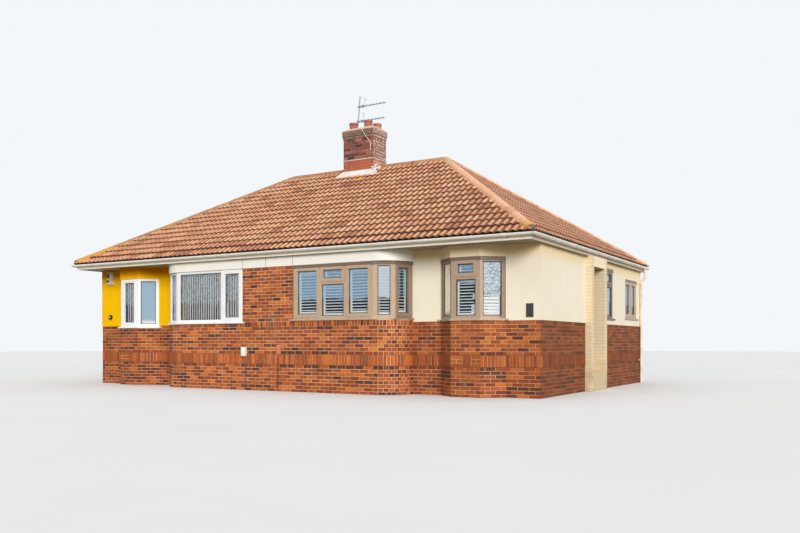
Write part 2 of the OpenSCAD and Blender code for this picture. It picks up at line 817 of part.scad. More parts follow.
// Downpipes near the rear corners of the side walls, with their swan necks and clips
module downpipes() {
    x = house_w + render_t + pipe_r + 12;
    y = half_d - pipe_in;
    gx = house_w + eaves_out + gutter_r;
    neck_z = wall_top - 320; // foot of the swan neck
    neck_top = neck_z + 140;
    socket_r = pipe_r + 6; // sockets at both ends of the swan neck
    color("ivory") for (side = [-1, 1]) house(side) {
        translate([x, y, 0]) cylinder(r = pipe_r, h = neck_z);
        rod([x, y, neck_z], [gx, y, neck_top], pipe_r - 2);
        difference() {
            translate([gx, y, neck_top]) cylinder(r = pipe_r, h = gutter_z - gutter_r / 2 - neck_top);
            translate([gx, y, gutter_z]) rotate([90, 0, 0])
                cylinder(r = gutter_r, h = gutter_w, center = true);
        }
        translate([x, y, neck_z - 40]) cylinder(r = socket_r, h = 60);
        translate([gx, y, neck_top - 20]) cylinder(r = socket_r, h = 60);
        for (z = [floor_z, base_top + 300, neck_z - 180])
            block([house_w + (z > base_top ? render_t : 0), y - 50, z], [x, y + 50, z + 30]);
    }
}

// Roof slopes, each a slab that meets its neighbours along the hips and the ridge
module roof_front() {
    color("chocolate") difference() {
        front_slab();
        stack_space(0, far, 0);
    }
}
module roof_rear() {
    color("chocolate") difference() {
        mirror([0, 1, 0]) front_slab();
        stack_space(0, far, 0);
    }
}
module roof_side(side) {
    color("chocolate") house(side) hip_slab();
}

ridge_axis = ridge_z - ridge_tile_drop;
ridge_reach = ridge_half + ridge_tile_r / 2; // the ridge runs on a little, to the mitre of the hips
over = 1000; // the planes of the slopes run on this far
mitre_gap = 0.4; // joint between two hips where they meet

// Space under the plane of the front slope, past the eaves and the ridge
module under_front() {
    rotate([90, 0, 90]) linear_extrude(far, center = true)
        polygon([[-roof_y - over, 0], [-roof_y - over, edge_z - over * slope_y],
            [over, ridge_z + over * slope_y], [over, 0]]);
}

// Space under the plane of the right hip, past the eaves and the end of the ridge
module under_hip() {
    mirror([1, 0, 0]) rotate([90, 0, 0]) linear_extrude(far, center = true)
        polygon([[-roof_x - over, 0], [-roof_x - over, edge_z - over * slope_x],
            [over - ridge_half, ridge_z + over * slope_x], [over - ridge_half, 0]]);
}

// Half-round tiles along the ridge
module ridge_tiles() {
    color("coral") difference() {
        rod([-ridge_reach, 0, ridge_axis], [ridge_reach, 0, ridge_axis], ridge_tile_r);
        intersection() {
            under_front();
            mirror([0, 1, 0]) under_front();
        }
        stack_space(0, far, 0);
    }
}

// Half-round tiles down the four hips, mitred in pairs at the ends of the ridge
module hip_tiles() {
    top = [ridge_half, 0, ridge_axis];
    foot = [roof_x, -roof_y, edge_z - ridge_tile_drop];
    run_on = (top - foot) * ridge_tile_r / norm(top - foot);
    color("coral") for (sx = [0, 1], sy = [0, 1]) mirror([sx, 0, 0]) mirror([0, sy, 0]) difference() {
        rod(foot - run_on, top + run_on, ridge_tile_r);
        intersection() {
            under_front();
            under_hip();
        }
        block([-far, -far, 0], [ridge_reach, far, far]);
        block([-far, -mitre_gap / 2, 0], [far, far, far]);
        block([-far, -far, 0], [far, -roof_y, far]);
        block([roof_x, -far, 0], [far, far, far]);
    }
}

// Chimney stack from the loft up, with the courses that step out and the mortar bed
module chimney_stack() {
    color("brown") {
        stack_space(breast_top, stack_top, 0);
        for (i = [1 : corbel_courses])
            stack_space(stack_top - i * course, stack_top, i < corbel_courses ? corbel_out : corbel_out / 2);
        stack_space(stack_top - past, stack_top + flaunch_h, -corbel_out);
    }
}

// Mortar fillet round the foot of the stack, on the tiles, deeper across the front
module chimney_flashing() {
    front = -stack_fwd - stack_d / 2;
    edge = front - apron_w;
    slab_front = ridge_z + front * slope_y; // heights of the slab at the stack and at the edge of the apron
    slab_edge = ridge_z + edge * slope_y;
    color("whitesmoke") difference() {
        union() {
            intersection() {
                stack_space(0, far, fillet_w);
                for (s = [0, 1]) mirror([0, s, 0]) rotate([90, 0, 90]) linear_extrude(far, center = true)
                    polygon([[-roof_y, edge_z], [-roof_y, edge_z + fillet_h], [0, ridge_z + fillet_h],
                        [0, ridge_z]]);
            }
            intersection() {
                rotate([90, 0, 90]) linear_extrude(far, center = true)
                    polygon([[edge, slab_edge], [edge, slab_edge + fillet_h], [front, slab_front + apron_h],
                        [front, slab_front]]);
                linear_extrude(far) polygon([[-stack_w / 2 - apron_side, edge],
                    [stack_w / 2 + fillet_w + apron_w, edge], [stack_w / 2 + fillet_w, front],
                    [-stack_w / 2, front]]);
            }
        }
        stack_space(0, far, 0);
        rod([-far, 0, ridge_axis], [far, 0, ridge_axis], ridge_tile_r);
    }
}

// One pot of height h with a rolled rim, standing on the mortar bed
module pot(h) {
    neck_r = pot_r - 14;
    rim = pot_r / 2;
    rotate_extrude() polygon([[0, 0], [neck_r + 4, 0], [neck_r, h - rim], [pot_r, h - rim + 12],
        [pot_r, h - 8], [pot_r - 8, h], [pot_r - pot_t, h], [pot_r - pot_t - 6, flaunch_h], [0, flaunch_h]]);
}

pot_x = stack_w / 2 - 1.5 * pot_r; // pots stand this far from the middle of the stack
pot_y = stack_d / 2 - pot_r - 40;

// Three pots: a plain one, one with a notched crown, and a low one behind it
module chimney_pots() {
    z = stack_top + flaunch_h;
    notch = pot_r / 3;
    crown_h = pot_h + 15;
    color("indianred") {
        translate([20 - pot_x, -stack_fwd - pot_y + 20, z]) pot(pot_h);
        translate([pot_x + 5, -stack_fwd + pot_y, z]) pot(low_pot_h);
        translate([pot_x - 85, -stack_fwd - pot_y, z]) difference() {
            pot(crown_h);
            for (a = [0 : 45 : 135]) rotate([0, 0, a])
                translate([-pot_r - past, -notch / 2, crown_h - notch])
                    cube([2 * (pot_r + past), notch, notch + past]);
        }
    }
}

// Rod of an aerial, level and square to its boom
module element(p, length) {
    rod(p - [0, length / 2, 0], p + [0, length / 2, 0], 5);
}

// Mast that leans at the rear corner of the stack, in two brackets, with two horizontal aerials
module aerial() {
    off = 60; // the mast stands this far behind the brickwork
    y = stack_d / 2 - stack_fwd + off;
    top = [off - stack_w / 2 + 15, y, floor_z + mast_top];
    foot = [top.x - mast_lean, y, stack_top - 520];
    color("dimgray") {
        rod(foot, top, mast_r);
        for (z = [foot.z + 30, foot.z + 160])
            block([foot.x - off / 3, y - off, z], [off - stack_w / 2, y, z + 40]);
        for (drop = [boom_drop, boom_drop + boom_gap]) {
            p = top + (foot - top) * drop / (top.z - foot.z);
            rod(p - [off, 0, 0], p + [boom_l, 0, 0], 11);
            for (i = [0 : 7]) element(p + [off + i * (boom_l - 1.5 * off) / 7, 0, 0], 140);
            rod(p + [175, 0, 0], p + [175, 0, 200], 5);
            element(p + [175, 0, 200], 220); // the reflector
            for (b = [[-25, 25], [85, 150]]) // the clamp and the box of the dipole
                block(p + [b[0], -28, -30], p + [b[1], 28, 30]);
        }
    }
}

// Alarm box high on the left front, with chamfered sides
module alarm_box() {
    lip = alarm_d / 3;
    color("cornsilk") translate([alarm_in - house_w, front_y - render_t, floor_z + alarm_z]) {
        block([-alarm_w / 2, lip - alarm_d, 0], [alarm_w / 2, 0, alarm_h]);
        block([lip - alarm_w / 2, -alarm_d, lip], [alarm_w / 2 - lip, 0, alarm_h - lip]);
    }
}

// Round lamp low on the left front
module wall_lamp() {
    color("black") translate([lamp_in - house_w, front_y - render_t, floor_z + lamp_z]) rotate([90, 0, 0]) {
        cylinder(r = lamp_r, h = lamp_r / 2);
        cylinder(r = lamp_r * 0.7, h = lamp_r * 0.85);
    }
}

// Bare plaque beside the right bow window
module plaque() {
    color("black") translate([house_w - plaque_in, front_y - render_t, floor_z + plaque_z])
        block([-plaque_w / 2, -render_t, 0], [plaque_w / 2, 0, plaque_h]);
}

// One small box on the front, with the pipe that runs down from it to the ground
module box_with_pipe(x, w, h, z, pipe) {
    block([x, -half_d - box_d, floor_z + z], [x + w, -half_d, floor_z + z + h]);
    translate([x + w / 2, -half_d - box_d / 2, 0]) cylinder(r = pipe, h = floor_z + z + past);
}

// The meter box at the left edge of the pier, and the clay one in its right half
module wall_boxes() {
    color("whitesmoke") {
        box_with_pipe(-pier_half - meter_w / 3, meter_w, meter_h, meter_z, meter_w / 7);
        box_with_pipe(pier_half / 3, flue_w, flue_h, flue_z, flue_w / 7);
    }
}

centre_pier();
bay_walls();
front_base();
front_wall(-1);  // front_wall_left
front_wall(1);  // front_wall_right
side_base();
side_wall(-1);  // side_wall_left
side_wall(1);  // side_wall_right
rear_base();
rear_wall(-1);  // rear_wall_left
rear_wall(1);  // rear_wall_right
party_wall();
white_band();
bay_window(-1);  // bay_window_left
bay_window(1);  // bay_window_right
bow_window(-1);  // bow_window_left
bow_window(1);  // bow_window_right
back_window_set(-1);  // back_windows_left
back_window_set(1);  // back_windows_right
glass();
shutters();
blinds();
porch(-1);  // porch_left
porch(1);  // porch_right
front_doors();
floor_slab();  // floor
ceiling();
soffit();
fascia();
gutter();
downpipes();
roof_front();
roof_rear();
roof_side(-1);  // roof_left
roof_side(1);  // roof_right
ridge_tiles();
hip_tiles();
chimney_stack();
chimney_flashing();
chimney_pots();
aerial();
alarm_box();
wall_lamp();
plaque();
wall_boxes();
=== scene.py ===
"""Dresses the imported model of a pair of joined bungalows: brickwork, windows, tiles, fittings."""

import math
import random
from functools import partialmethod

import bmesh
import bpy
from mathutils import Matrix, Vector, noise


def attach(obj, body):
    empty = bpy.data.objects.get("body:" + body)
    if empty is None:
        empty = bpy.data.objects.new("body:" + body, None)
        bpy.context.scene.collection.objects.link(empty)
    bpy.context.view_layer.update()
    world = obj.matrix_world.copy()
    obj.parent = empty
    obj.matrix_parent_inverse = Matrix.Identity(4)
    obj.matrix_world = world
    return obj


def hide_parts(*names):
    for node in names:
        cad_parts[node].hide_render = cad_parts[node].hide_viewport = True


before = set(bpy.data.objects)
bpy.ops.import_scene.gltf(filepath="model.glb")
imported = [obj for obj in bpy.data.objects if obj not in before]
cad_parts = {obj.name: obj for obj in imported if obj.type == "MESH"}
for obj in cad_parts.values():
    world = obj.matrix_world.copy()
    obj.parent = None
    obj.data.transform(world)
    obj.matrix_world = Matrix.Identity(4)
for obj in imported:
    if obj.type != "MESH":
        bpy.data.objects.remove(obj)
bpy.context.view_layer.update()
random.seed(12)

# STUDIO
# A pale floor under an even sky, with one broad lamp low on the right. The camera stands some way
# in front of the right-hand house, level, with its lens shifted up a little, as for the photograph.


class Wire:
    """An output of the finish that is being made. Sums written on it become Math nodes."""

    made = tree = None

    def __init__(self, socket):
        self.socket = socket

    @classmethod
    def node(cls, kind, values=(), output=0, stops=(), **settings):
        """Adds a node: first its settings and the stops of its ramp, then its sockets' values."""
        made = cls.tree.nodes.new("ShaderNode" + kind)
        for name, value in settings.items():
            setattr(made, name, value)
        for i, (at, colour) in enumerate(stops):
            ramp = made.color_ramp.elements
            stop = ramp[i] if i < 2 else ramp.new(at)
            stop.position, stop.color = at, colour
        for key, value in dict(values).items():
            if isinstance(value, Wire):
                cls.tree.links.new(value.socket, made.inputs[key])
            else:
                made.inputs[key].default_value = value
        return cls(made.outputs[output]) if made.outputs else None

    def maths(self, operation, *others):
        return Wire.node("Math", dict(enumerate((self, *others))), operation=operation)

    def __rsub__(self, other):
        return Wire.node("Math", {0: other, 1: self}, operation="SUBTRACT")

    __sub__ = partialmethod(maths, "SUBTRACT")
    __add__ = __radd__ = partialmethod(maths, "ADD")
    __mul__ = __rmul__ = partialmethod(maths, "MULTIPLY")
    __gt__ = partialmethod(maths, "GREATER_THAN")
    __lt__ = partialmethod(maths, "LESS_THAN")
    __abs__ = partialmethod(maths, "ABSOLUTE")


def paint(*tint):
    """A colour as a paint chart gives it, from 0 to 255, in the scene's linear values."""
    return (*(c / 255 / 12.92 if c < 11 else ((c / 255 + 0.055) / 1.055) ** 2.4 for c in tint), 1)


def mix(share, a, b):
    """A share of b over a. Three numbers are a paint, and four are a linear colour."""
    a, b = (paint(*c) if isinstance(c, tuple) and len(c) == 3 else c for c in (a, b))
    return Wire.node("Mix", {0: share, 6: a, 7: b}, output=2, data_type="RGBA")


def coats(colour, *washes):
    """A colour under washes, each of which is a share and a paint."""
    for share, *tint in washes:
        colour = mix(share, colour, tuple(tint))
    return colour


def place():
    return Wire.node("TexCoord", output="Object")


def along(axis):
    return Wire.node("SeparateXYZ", {0: place()}, output=axis)


def fade(value, start, end):
    """0 before start, 1 after end, straight between them."""
    return Wire.node("MapRange", {0: value, 1: start, 2: end})


def specks(size, detail=3.0, stretch=(1, 1, 1)):
    """Cloudy noise with patches of about this size in metres, drawn out along the axes."""
    where = Wire.node("Mapping", {0: place(), 3: tuple(1 / s for s in stretch)})
    values = {"Vector": where, "Scale": 1 / size, "Detail": detail, "Roughness": 0.55}
    return Wire.node("TexNoise", values)


def begin(name):
    """Starts a material; the nodes that follow are its own."""
    Wire.made = bpy.data.materials.new(name)
    Wire.made.use_nodes = True
    Wire.tree = Wire.made.node_tree
    Wire.tree.nodes.clear()


def complete(colour, rough, relief=None, depth=0.002, **fixed):
    """Finishes a material. Relief is a height from 0 to 1 that stands for depth in metres."""
    values = {"Base Color": colour, "Roughness": rough}
    values.update({name.replace("_", " "): value for name, value in fixed.items()})
    if relief is not None:
        bump = {"Height": relief, "Distance": depth, "Strength": 1.0}
        values["Normal"] = Wire.node("Bump", bump)
    Wire.node("OutputMaterial", {"Surface": Wire.node("BsdfPrincipled", values)})
    return Wire.made


def plain(name, colour, second, size, rough, grain=0.004, depth=0.0006, **fixed):
    """A finish of two near shades in cloudy patches of this size, with a fine grain."""
    begin(name)
    fine = specks(grain, 2.0)
    tint = mix(fade(specks(size), 0.35, 0.65), colour, second)
    return complete(mix(fine * 0.25, tint, second), rough + fine * 0.12, fine, depth, **fixed)


def put(name, data):
    thing = bpy.data.objects.new(name, data)
    bpy.context.scene.collection.objects.link(thing)
    return thing


def meshed(bm, name):
    mesh = bpy.data.meshes.new(name)
    bm.to_mesh(mesh)
    bm.free()
    return mesh


def settle(bm, name, material, slot, *replaced, smooth=None):
    """Makes a piece from a mesh in the building's place, and hides the CAD pieces that it replaces.
    """
    bmesh.ops.recalc_face_normals(bm, faces=bm.faces)
    mesh = meshed(bm, name)
    if smooth is not None:
        mesh.shade_smooth()
        mesh.set_sharp_from_angle(angle=math.radians(smooth))
    mesh.materials.append(material)
    piece = put(name, mesh)
    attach(piece, "root")
    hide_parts(*replaced)


def dress(material, *nodes):
    """Gives a finish to pieces of the CAD model."""
    for node in nodes:
        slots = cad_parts[node].material_slots
        if slots:
            slots[0].material = material
        else:
            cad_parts[node].data.materials.append(material)


scene = bpy.context.scene
scene.view_settings.view_transform = "Standard"
camera = put("camera", bpy.data.cameras.new("camera"))
camera.location = (11.845, -18.28, 1.080)
camera.rotation_euler = (math.radians(90), 0, math.radians(30.535))
camera.data.lens = 36.54
camera.data.shift_y = 0.0952
camera.data.clip_end = 300
scene.camera = camera

lamp = put("lamp", bpy.data.lights.new("lamp", "SUN"))
lamp.data.energy = 2.7
lamp.data.angle = math.radians(26)
lamp.data.color = (1.0, 0.97, 0.92)
lamp.rotation_euler = Vector((0.64, -0.70, 0.32)).to_track_quat("Z", "Y").to_euler()


def seen():
    """1 for what the camera, a mirror or a pane shows, 0 for light that a surface passes on."""
    rays = [Wire.node("LightPath", output=f"Is {kind} Ray")
            for kind in ("Camera", "Glossy", "Transmission")]
    return (rays[0] + rays[1] + rays[2]).maths("MINIMUM", 1.0)


# the sky is brighter overhead than at its rim, as under thin cloud
world = bpy.data.worlds.new("sky")
scene.world = world
world.use_nodes = True
world.node_tree.nodes.clear()
Wire.tree = world.node_tree
up = Wire.node("SeparateXYZ", {0: Wire.node("TexCoord", output="Generated")}, output="Z")
strength = 0.45 + up.maths("MAXIMUM", 0.0) * 0.45
light = Wire.node("Background", {"Color": (0.94, 0.96, 1.0, 1), "Strength": strength})
backdrop = Wire.node("Background", {"Color": (0.90, 0.925, 0.95, 1), "Strength": 1.0})
Wire.node("OutputWorld", {"Surface": Wire.node("MixShader", {0: seen(), 1: light, 2: backdrop})})

bm = bmesh.new()
bmesh.ops.create_circle(bm, cap_ends=True, segments=64, radius=90)
bmesh.ops.translate(bm, verts=bm.verts, vec=(0, 0, -0.002))
ground = put("ground_sheet", meshed(bm, "ground_sheet"))
begin("ground_sheet")
mottle = mix(fade(specks(4.0), 0.35, 0.65), (0.84, 0.84, 0.83, 1), (0.81, 0.81, 0.80, 1))
pale = complete(mix(seen(), (0.23, 0.195, 0.15, 1), mottle), 0.85, Specular_IOR_Level=0.0)
ground.data.materials.append(pale)

# BRICKWORK
# Orange-red facing bricks with burnt ones among them, laid in stretcher bond with pale mortar. A
# band of upright bricks runs round at floor level and a course on edge lies under the bay sills.
# The CAD walls are the mortar.
COURSE = 0.0762
JOINT = 0.010
STRETCHER = 0.225
UPRIGHT = 0.075
HEADER = 0.1125
SHORTEST = 0.06  # no brick is cut shorter than this
BURNT = 0.08  # the share of burnt bricks, which tend to lie side by side
PROUD = 0.004  # bricks stand this far out of the mortar
UPRIGHTS_PROUD = 0.008  # and upright ones this much more
FLOOR = 0.600
BAND_TOP = 0.832
BAY_SILL = 1.5586
BAY_SILLS = {1: BAY_SILL, -1: 1.5226}  # the sill of the left-hand bay is lower
HEAD = 2.7778
HOUSE_X = 6.235
FRONT_Y = -3.445
HALF_Y = 4.075
MIDDLE_END = 3.43  # beyond this lie the outer parts of the front, whose bricks are browner


def mitred(points, out):
    """A plan line moved outwards, which is to the right of its direction, with mitred corners."""
    normals = []
    for a, b in zip(points, points[1:]):
        way = (Vector(b) - Vector(a)).normalized()
        normals.append(Vector((way.y, -way.x)))
    moved = []
    for i, point in enumerate(points):
        n1, n2 = normals[max(i - 1, 0)], normals[min(i, len(normals) - 1)]
        moved.append(Vector(point) + out * (n1 + n2) / (1 + n1.dot(n2)))
    return moved


def panel(a, b, z=0.0):
    """Turns X along a panel from a to b, Y inwards and Z up from z into the building's place."""
    way = (Vector(b) - Vector(a)).normalized()
    return Matrix(((way.x, -way.y, 0, a[0]), (way.y, way.x, 0, a[1]), (0, 0, 1, z), (0, 0, 0, 1)))


def on_side(side, a, b, ends):
    """A panel's plan ends and the parities of its corners; mirrored where side is -1."""
    a, b = Vector(a), Vector(b)
    return (a, b, ends) if side > 0 else (Vector((-b.x, b.y)), Vector((-a.x, a.y)), ends[::-1])


def toned():
    bm = bmesh.new()
    bm.faces.layers.float.new("tone")
    return bm


def box(bm, low, high, tone=None):
    """A block between two corners; its faces keep the tone, where the mesh has tones."""
    low, high = Vector(low), Vector(high)
    size = Matrix.Translation((low + high) / 2) @ Matrix.Diagonal((*(high - low), 1))
    verts = bmesh.ops.create_cube(bm, size=1, matrix=size)["verts"]
    if tone is not None:
        layer = bm.faces.layers.float["tone"]
        for face in {face for vert in verts for face in vert.link_faces}:
            face[layer] = tone


def ease(bm, size, segments=1, front=math.inf):
    """Takes the sharpness off the edges, or only off those in front of this Y."""
    edges = [e for e in bm.edges if max(v.co.y for v in e.verts) < front]
    bmesh.ops.bevel(bm, geom=edges, offset=size, segments=segments, profile=0.5, material=-1,
                    affect="EDGES")


def lay(rows, start, end, first=None, last=None, deep=0.1, chamfer=0.003, bite=HEADER):
    """Bricks in a flat wall whose face is Y = 0, from start to end along X. Rows are bottom, top
    and pitch. At a corner the rows of parity first or last reach it, and the others stop short,
    beside the end of a brick."""
    bm = toned()
    shade = 1.0
    for i, (low, high, pitch) in enumerate(rows):
        a = start if first in (None, i % 2) else start + bite
        b = end if last in (None, i % 2) else end - bite
        upright = pitch == UPRIGHT
        count = max(round((end - start) / (pitch if upright else pitch / 2)), 1)
        joints = [start + k * (end - start) / count for k in range(count)
                  if upright or (k + i + (first or 0)) % 2 == 0]
        joints = [s for s in joints if a + SHORTEST < s < b - SHORTEST]
        stands, gap = (UPRIGHTS_PROUD, JOINT / 2 + 0.002) if upright else (0, JOINT / 2)
        for lo, hi in zip([a - JOINT / 2, *joints], [*joints, b + JOINT / 2]):
            shade = shade if shade < BURNT and random.random() < 0.4 else random.random()
            out = random.uniform(-0.001, 0.001) - stands
            box(bm, (lo + gap, out, low), (hi - gap, deep, high), shade)
    ease(bm, chamfer, front=0.005)
    return bm


def add(bm, other, matrix=None, bend=None):
    """Adds a mesh to another, in its place."""
    if matrix:
        bmesh.ops.transform(other, matrix=matrix, verts=other.verts)
    if bend:
        for vert in other.verts:
            vert.co = bend(*vert.co)
    mesh = meshed(other, "part")
    bm.from_mesh(mesh)
    bpy.data.meshes.remove(mesh)


def wall(bm, rows, a, b, ends, **sizes):
    """Adds the bricks of a whole panel from a to b."""
    add(bm, lay(rows, 0, (b - a).length, *ends, **sizes), panel(a, b))


def slit(bm, at, normal, **settings):
    """Cuts a mesh along a plane and gives the edges of the cut."""
    everything = bm.verts[:] + bm.edges[:] + bm.faces[:]
    cut = bmesh.ops.bisect_plane(bm, geom=everything, dist=1e-5, plane_co=at, plane_no=normal,
                                 **settings)
    return [e for e in cut["geom_cut"] if isinstance(e, bmesh.types.BMEdge)]


def courses(low, count, pitch=STRETCHER, gauge=COURSE):
    """Rows of bricks from a height up, with none of them below the ground."""
    return [(max(low + i * gauge, 0.0), low + (i + 1) * gauge - JOINT, pitch)
            for i in range(count)]


below = courses(FLOOR - 8 * COURSE, 8)
band = [(FLOOR, BAND_TOP - JOINT, UPRIGHT)]
mended = courses(FLOOR, 3, gauge=0.0773)
bay_rows = below + band + courses(BAND_TOP, 8)
low_rows = below + band + courses(BAND_TOP, 9)
round_rows = courses(FLOOR - 8 * COURSE, 8, HEADER) + band + courses(BAND_TOP, 8, HEADER)


def carried(name):
    """A number that each brick or tile carries."""
    return Wire.node("Attribute", output="Fac", attribute_name=name)


def shades(value, *stops):
    """A colour that runs through these stops: each is a place from 0 to 1, and a paint."""
    return Wire.node("ValToRGB", {0: value}, stops=[(at, paint(*tint)) for at, *tint in stops])


begin("facing_brick")
clouds = specks(0.06, 5.0)
dirt = fade(specks(0.8, 3.0), 0.45, 0.75)
bloom = fade(specks(0.35, 4.0), 0.58, 0.76) * 0.35
grit = specks(0.006, 2.0)
x, z = map(along, "XZ")
in_band = (z > FLOOR) * (z < BAND_TOP)
body = shades(carried("tone"), (0.0, 54, 32, 30), (0.07, 84, 44, 32), (0.12, 126, 54, 28),
              (0.35, 162, 75, 32), (0.60, 184, 90, 36), (0.85, 209, 113, 46),
              (0.95, 222, 132, 58), (1.0, 246, 130, 36))
# the wash beyond HOUSE_X is painted shade on the bricks of both side walls
body = coats(body, (fade(clouds, 0.35, 0.65) * 0.45, 126, 58, 32), (dirt * 0.28, 104, 54, 32),
             (bloom, 206, 148, 100), (in_band * 0.25, 222, 118, 48),
             ((abs(x) > MIDDLE_END) * 0.28, 124, 54, 12),
             ((abs(x) > HOUSE_X + 0.003) * 0.55, 96, 48, 14), (grit * 0.15, 84, 50, 38))
brick = complete(body, 0.78 + grit * 0.15, grit + clouds, 0.0012)

begin("lime_mortar")
sand = specks(0.004, 2.0)
x, z = map(along, "XZ")
# dark lines in the mortar at the foot and the top of the upright band: a damp course at the foot,
# and painted shade along both edges of the band
damp_course_and_shade = abs(z - FLOOR + JOINT / 2) < 0.008
damp_course_and_shade = damp_course_and_shade + (abs(z - BAND_TOP + JOINT / 2) < 0.006)
lime = mix(fade(specks(0.4, 4.0), 0.35, 0.7), (238, 206, 166), (190, 148, 108))
# beyond HOUSE_X the mortar is browned with painted shade, like the side walls' bricks
lime = coats(lime, ((abs(x) > MIDDLE_END) * 0.28, 150, 100, 50),
             ((abs(x) > HOUSE_X - 0.003) * 0.7, 124, 84, 44),
             (damp_course_and_shade * 0.8, 70, 48, 40), (sand * 0.2, 140, 112, 90))
dress(complete(lime, 0.9, sand, 0.0012),
      "centre_pier", "bay_walls", "front_base", "side_base", "rear_base")

PIER = 0.726
BAY_TURN = 2.812  # the round corners begin here
ROUND = 0.600
CUT_EVERY = 0.05  # the flat wall is cut this often where it is to be bent
bay_end = BAY_TURN + (ROUND + PROUD) * math.pi / 2 + 0.03


def round_ends(s, t, z):
    """Bends a long flat wall round both ends of the middle of the front."""
    arc = min(abs(s) - BAY_TURN, (ROUND + PROUD) * math.pi / 2)
    if arc <= 0:
        return Vector((s, t - HALF_Y - PROUD, z))
    angle, radius = arc / (ROUND + PROUD), ROUND + PROUD - t
    run_on = max(abs(s) - BAY_TURN - arc, 0)
    x = BAY_TURN + radius * math.sin(angle)
    return Vector((math.copysign(x, s), ROUND - HALF_Y - radius * math.cos(angle) + run_on, z))


bm = toned()
add(bm, lay(courses(BAY_SILL, 16), -PIER, PIER), bend=round_ends)
runs = [(1, lay(bay_rows, -BAY_TURN - HEADER, BAY_TURN + HEADER, 0, 0))]
for side, sill in BAY_SILLS.items():
    edge = [(BAND_TOP + 8 * COURSE, sill - JOINT, UPRIGHT)]
    runs.append((side, lay(edge, -PIER if side > 0 else PIER + JOINT, bay_end)))
    runs.append((side, lay(round_rows, BAY_TURN + JOINT, bay_end, first=1)))
for side, run in runs:
    for s in range(-20, 20):
        at = math.copysign(BAY_TURN + (abs(s + 0.5) - 0.5) * CUT_EVERY, s + 0.5)
        slit(run, (at, 0, 0), (1, 0, 0))
    add(bm, run, bend=lambda s, t, z: round_ends(side * s, t, z))
settle(bm, "middle_bricks", brick, "brick")

BOW = ((4.077, FRONT_Y), (4.481, -3.804), (5.119, -3.804), (5.523, FRONT_Y))
# from where to where the band on a bow's middle face is still upright; the rest was relaid flat
BOW_UPRIGHTS = {1: (0.275, 0.449), -1: (0.319, 0.650)}
outline = mitred([(BAY_TURN + ROUND + PROUD, FRONT_Y), *BOW, (HOUSE_X, FRONT_Y), (HOUSE_X, 0)],
                 PROUD)
bm = toned()
for side in (1, -1):
    for i in range(5):
        a, b, ends = on_side(side, *outline[i:i + 2], (None, 0 if i == 4 else None))
        rows = bay_rows if side < 0 and i in (1, 2, 3) else low_rows
        if i == 2:
            rows = [row for row in rows if row not in band]
            (low, high), long = BOW_UPRIGHTS[side], (b - a).length
            for lo, hi, part in ((0, low - JOINT, mended), (low, min(high, long), band),
                                 (high + JOINT, long, mended)):
                if hi - lo > SHORTEST:
                    add(bm, lay(part, lo, hi), panel(a, b))
        wall(bm, rows, a, b, ends)
settle(bm, "outer_front_bricks", brick, "brick")

PORCH = (-0.705, 0.455)
SIDE_X, FRONT_END = outline[5]
REAR_END = HALF_Y + PROUD
bm = toned()
for side in (1, -1):
    for near, far, ends in ((FRONT_END, PORCH[0], (1, None)), (PORCH[1], REAR_END, (None, 0))):
        wall(bm, low_rows, *on_side(side, (SIDE_X, near), (SIDE_X, far), ends))
settle(bm, "side_bricks", brick, "brick")

bm = toned()
wall(bm, low_rows, Vector((SIDE_X, REAR_END)), Vector((-SIDE_X, REAR_END)), (1, 1))
settle(bm, "rear_bricks", brick, "brick")

# PORCH SURROUNDS
# Plain brick piers and a lintel round each side door, standing out from the wall and painted with
# the house. The doorway's sides are lined with the same bricks. The CAD porches are the joints.
PORCH_X = 6.390
PORCH_BACK = HOUSE_X + 0.02
REVEAL_X = HOUSE_X - 0.20
DOORWAY = (-0.535, 0.285)
SOFFIT = 3.008
PORCH_TINTS = {1: ("right", "cream", (230, 213, 180), (220, 201, 164), (214, 194, 156),
                   (247, 230, 202)),
               -1: ("left", "yellow", (250, 190, 2), (238, 174, 4), (228, 166, 4), (248, 186, 2))}
porch_rows = below + courses(FLOOR, 31) + [(FLOOR + 31 * COURSE, SOFFIT - 0.002, STRETCHER)]
(south, north), (door_south, door_north) = PORCH, DOORWAY
piers = [mitred([(PORCH_BACK, south), (PORCH_X, south), (PORCH_X, door_south),
                 (REVEAL_X, door_south)], 0.003),
         mitred([(REVEAL_X, door_north), (PORCH_X, door_north), (PORCH_X, north),
                 (PORCH_BACK, north)], 0.003)]
for side, (name, hue, *tints) in PORCH_TINTS.items():
    begin("painted_brick_" + name)
    skin = specks(0.01, 3.0)
    worn = fade(specks(0.4, 5.0), 0.4, 0.75)
    foot = fade(along("Z"), 0.75, 0.2) * fade(specks(0.2, 4.0), 0.3, 0.6)
    coat = coats(mix(worn * 0.7, *tints[:2]), (foot * 0.6, 150, 120, 90))
    made = complete(coat, 0.6 + skin * 0.2, skin, 0.001, Specular_IOR_Level=0.2)
    begin("painted_joints_" + name)
    fine = specks(0.004, 2.0)
    coat = mix(along("Z") > HEAD, *tints[2:])  # the lintel's joints are paler
    dress(complete(coat, 0.8 + fine * 0.12, fine, 0.0006), "porch_" + name)
    bm = toned()
    for pier, face in ((0, 1), (1, 1), (0, 0), (1, 2), (0, 2), (1, 0)):
        a, b = piers[pier][face:face + 2]
        ends = ((None, 1), (0, 0), (1, None))[face]
        rows = [row for row in porch_rows
                if min(a.x, b.x) > HOUSE_X or FLOOR <= row[0] < row[1] < HEAD]
        wall(bm, rows, *on_side(side, a, b, ends), deep=0.05, chamfer=0.004, bite=0.06)
    settle(bm, "porch_bricks_" + name, made, hue + "_brick_paint")
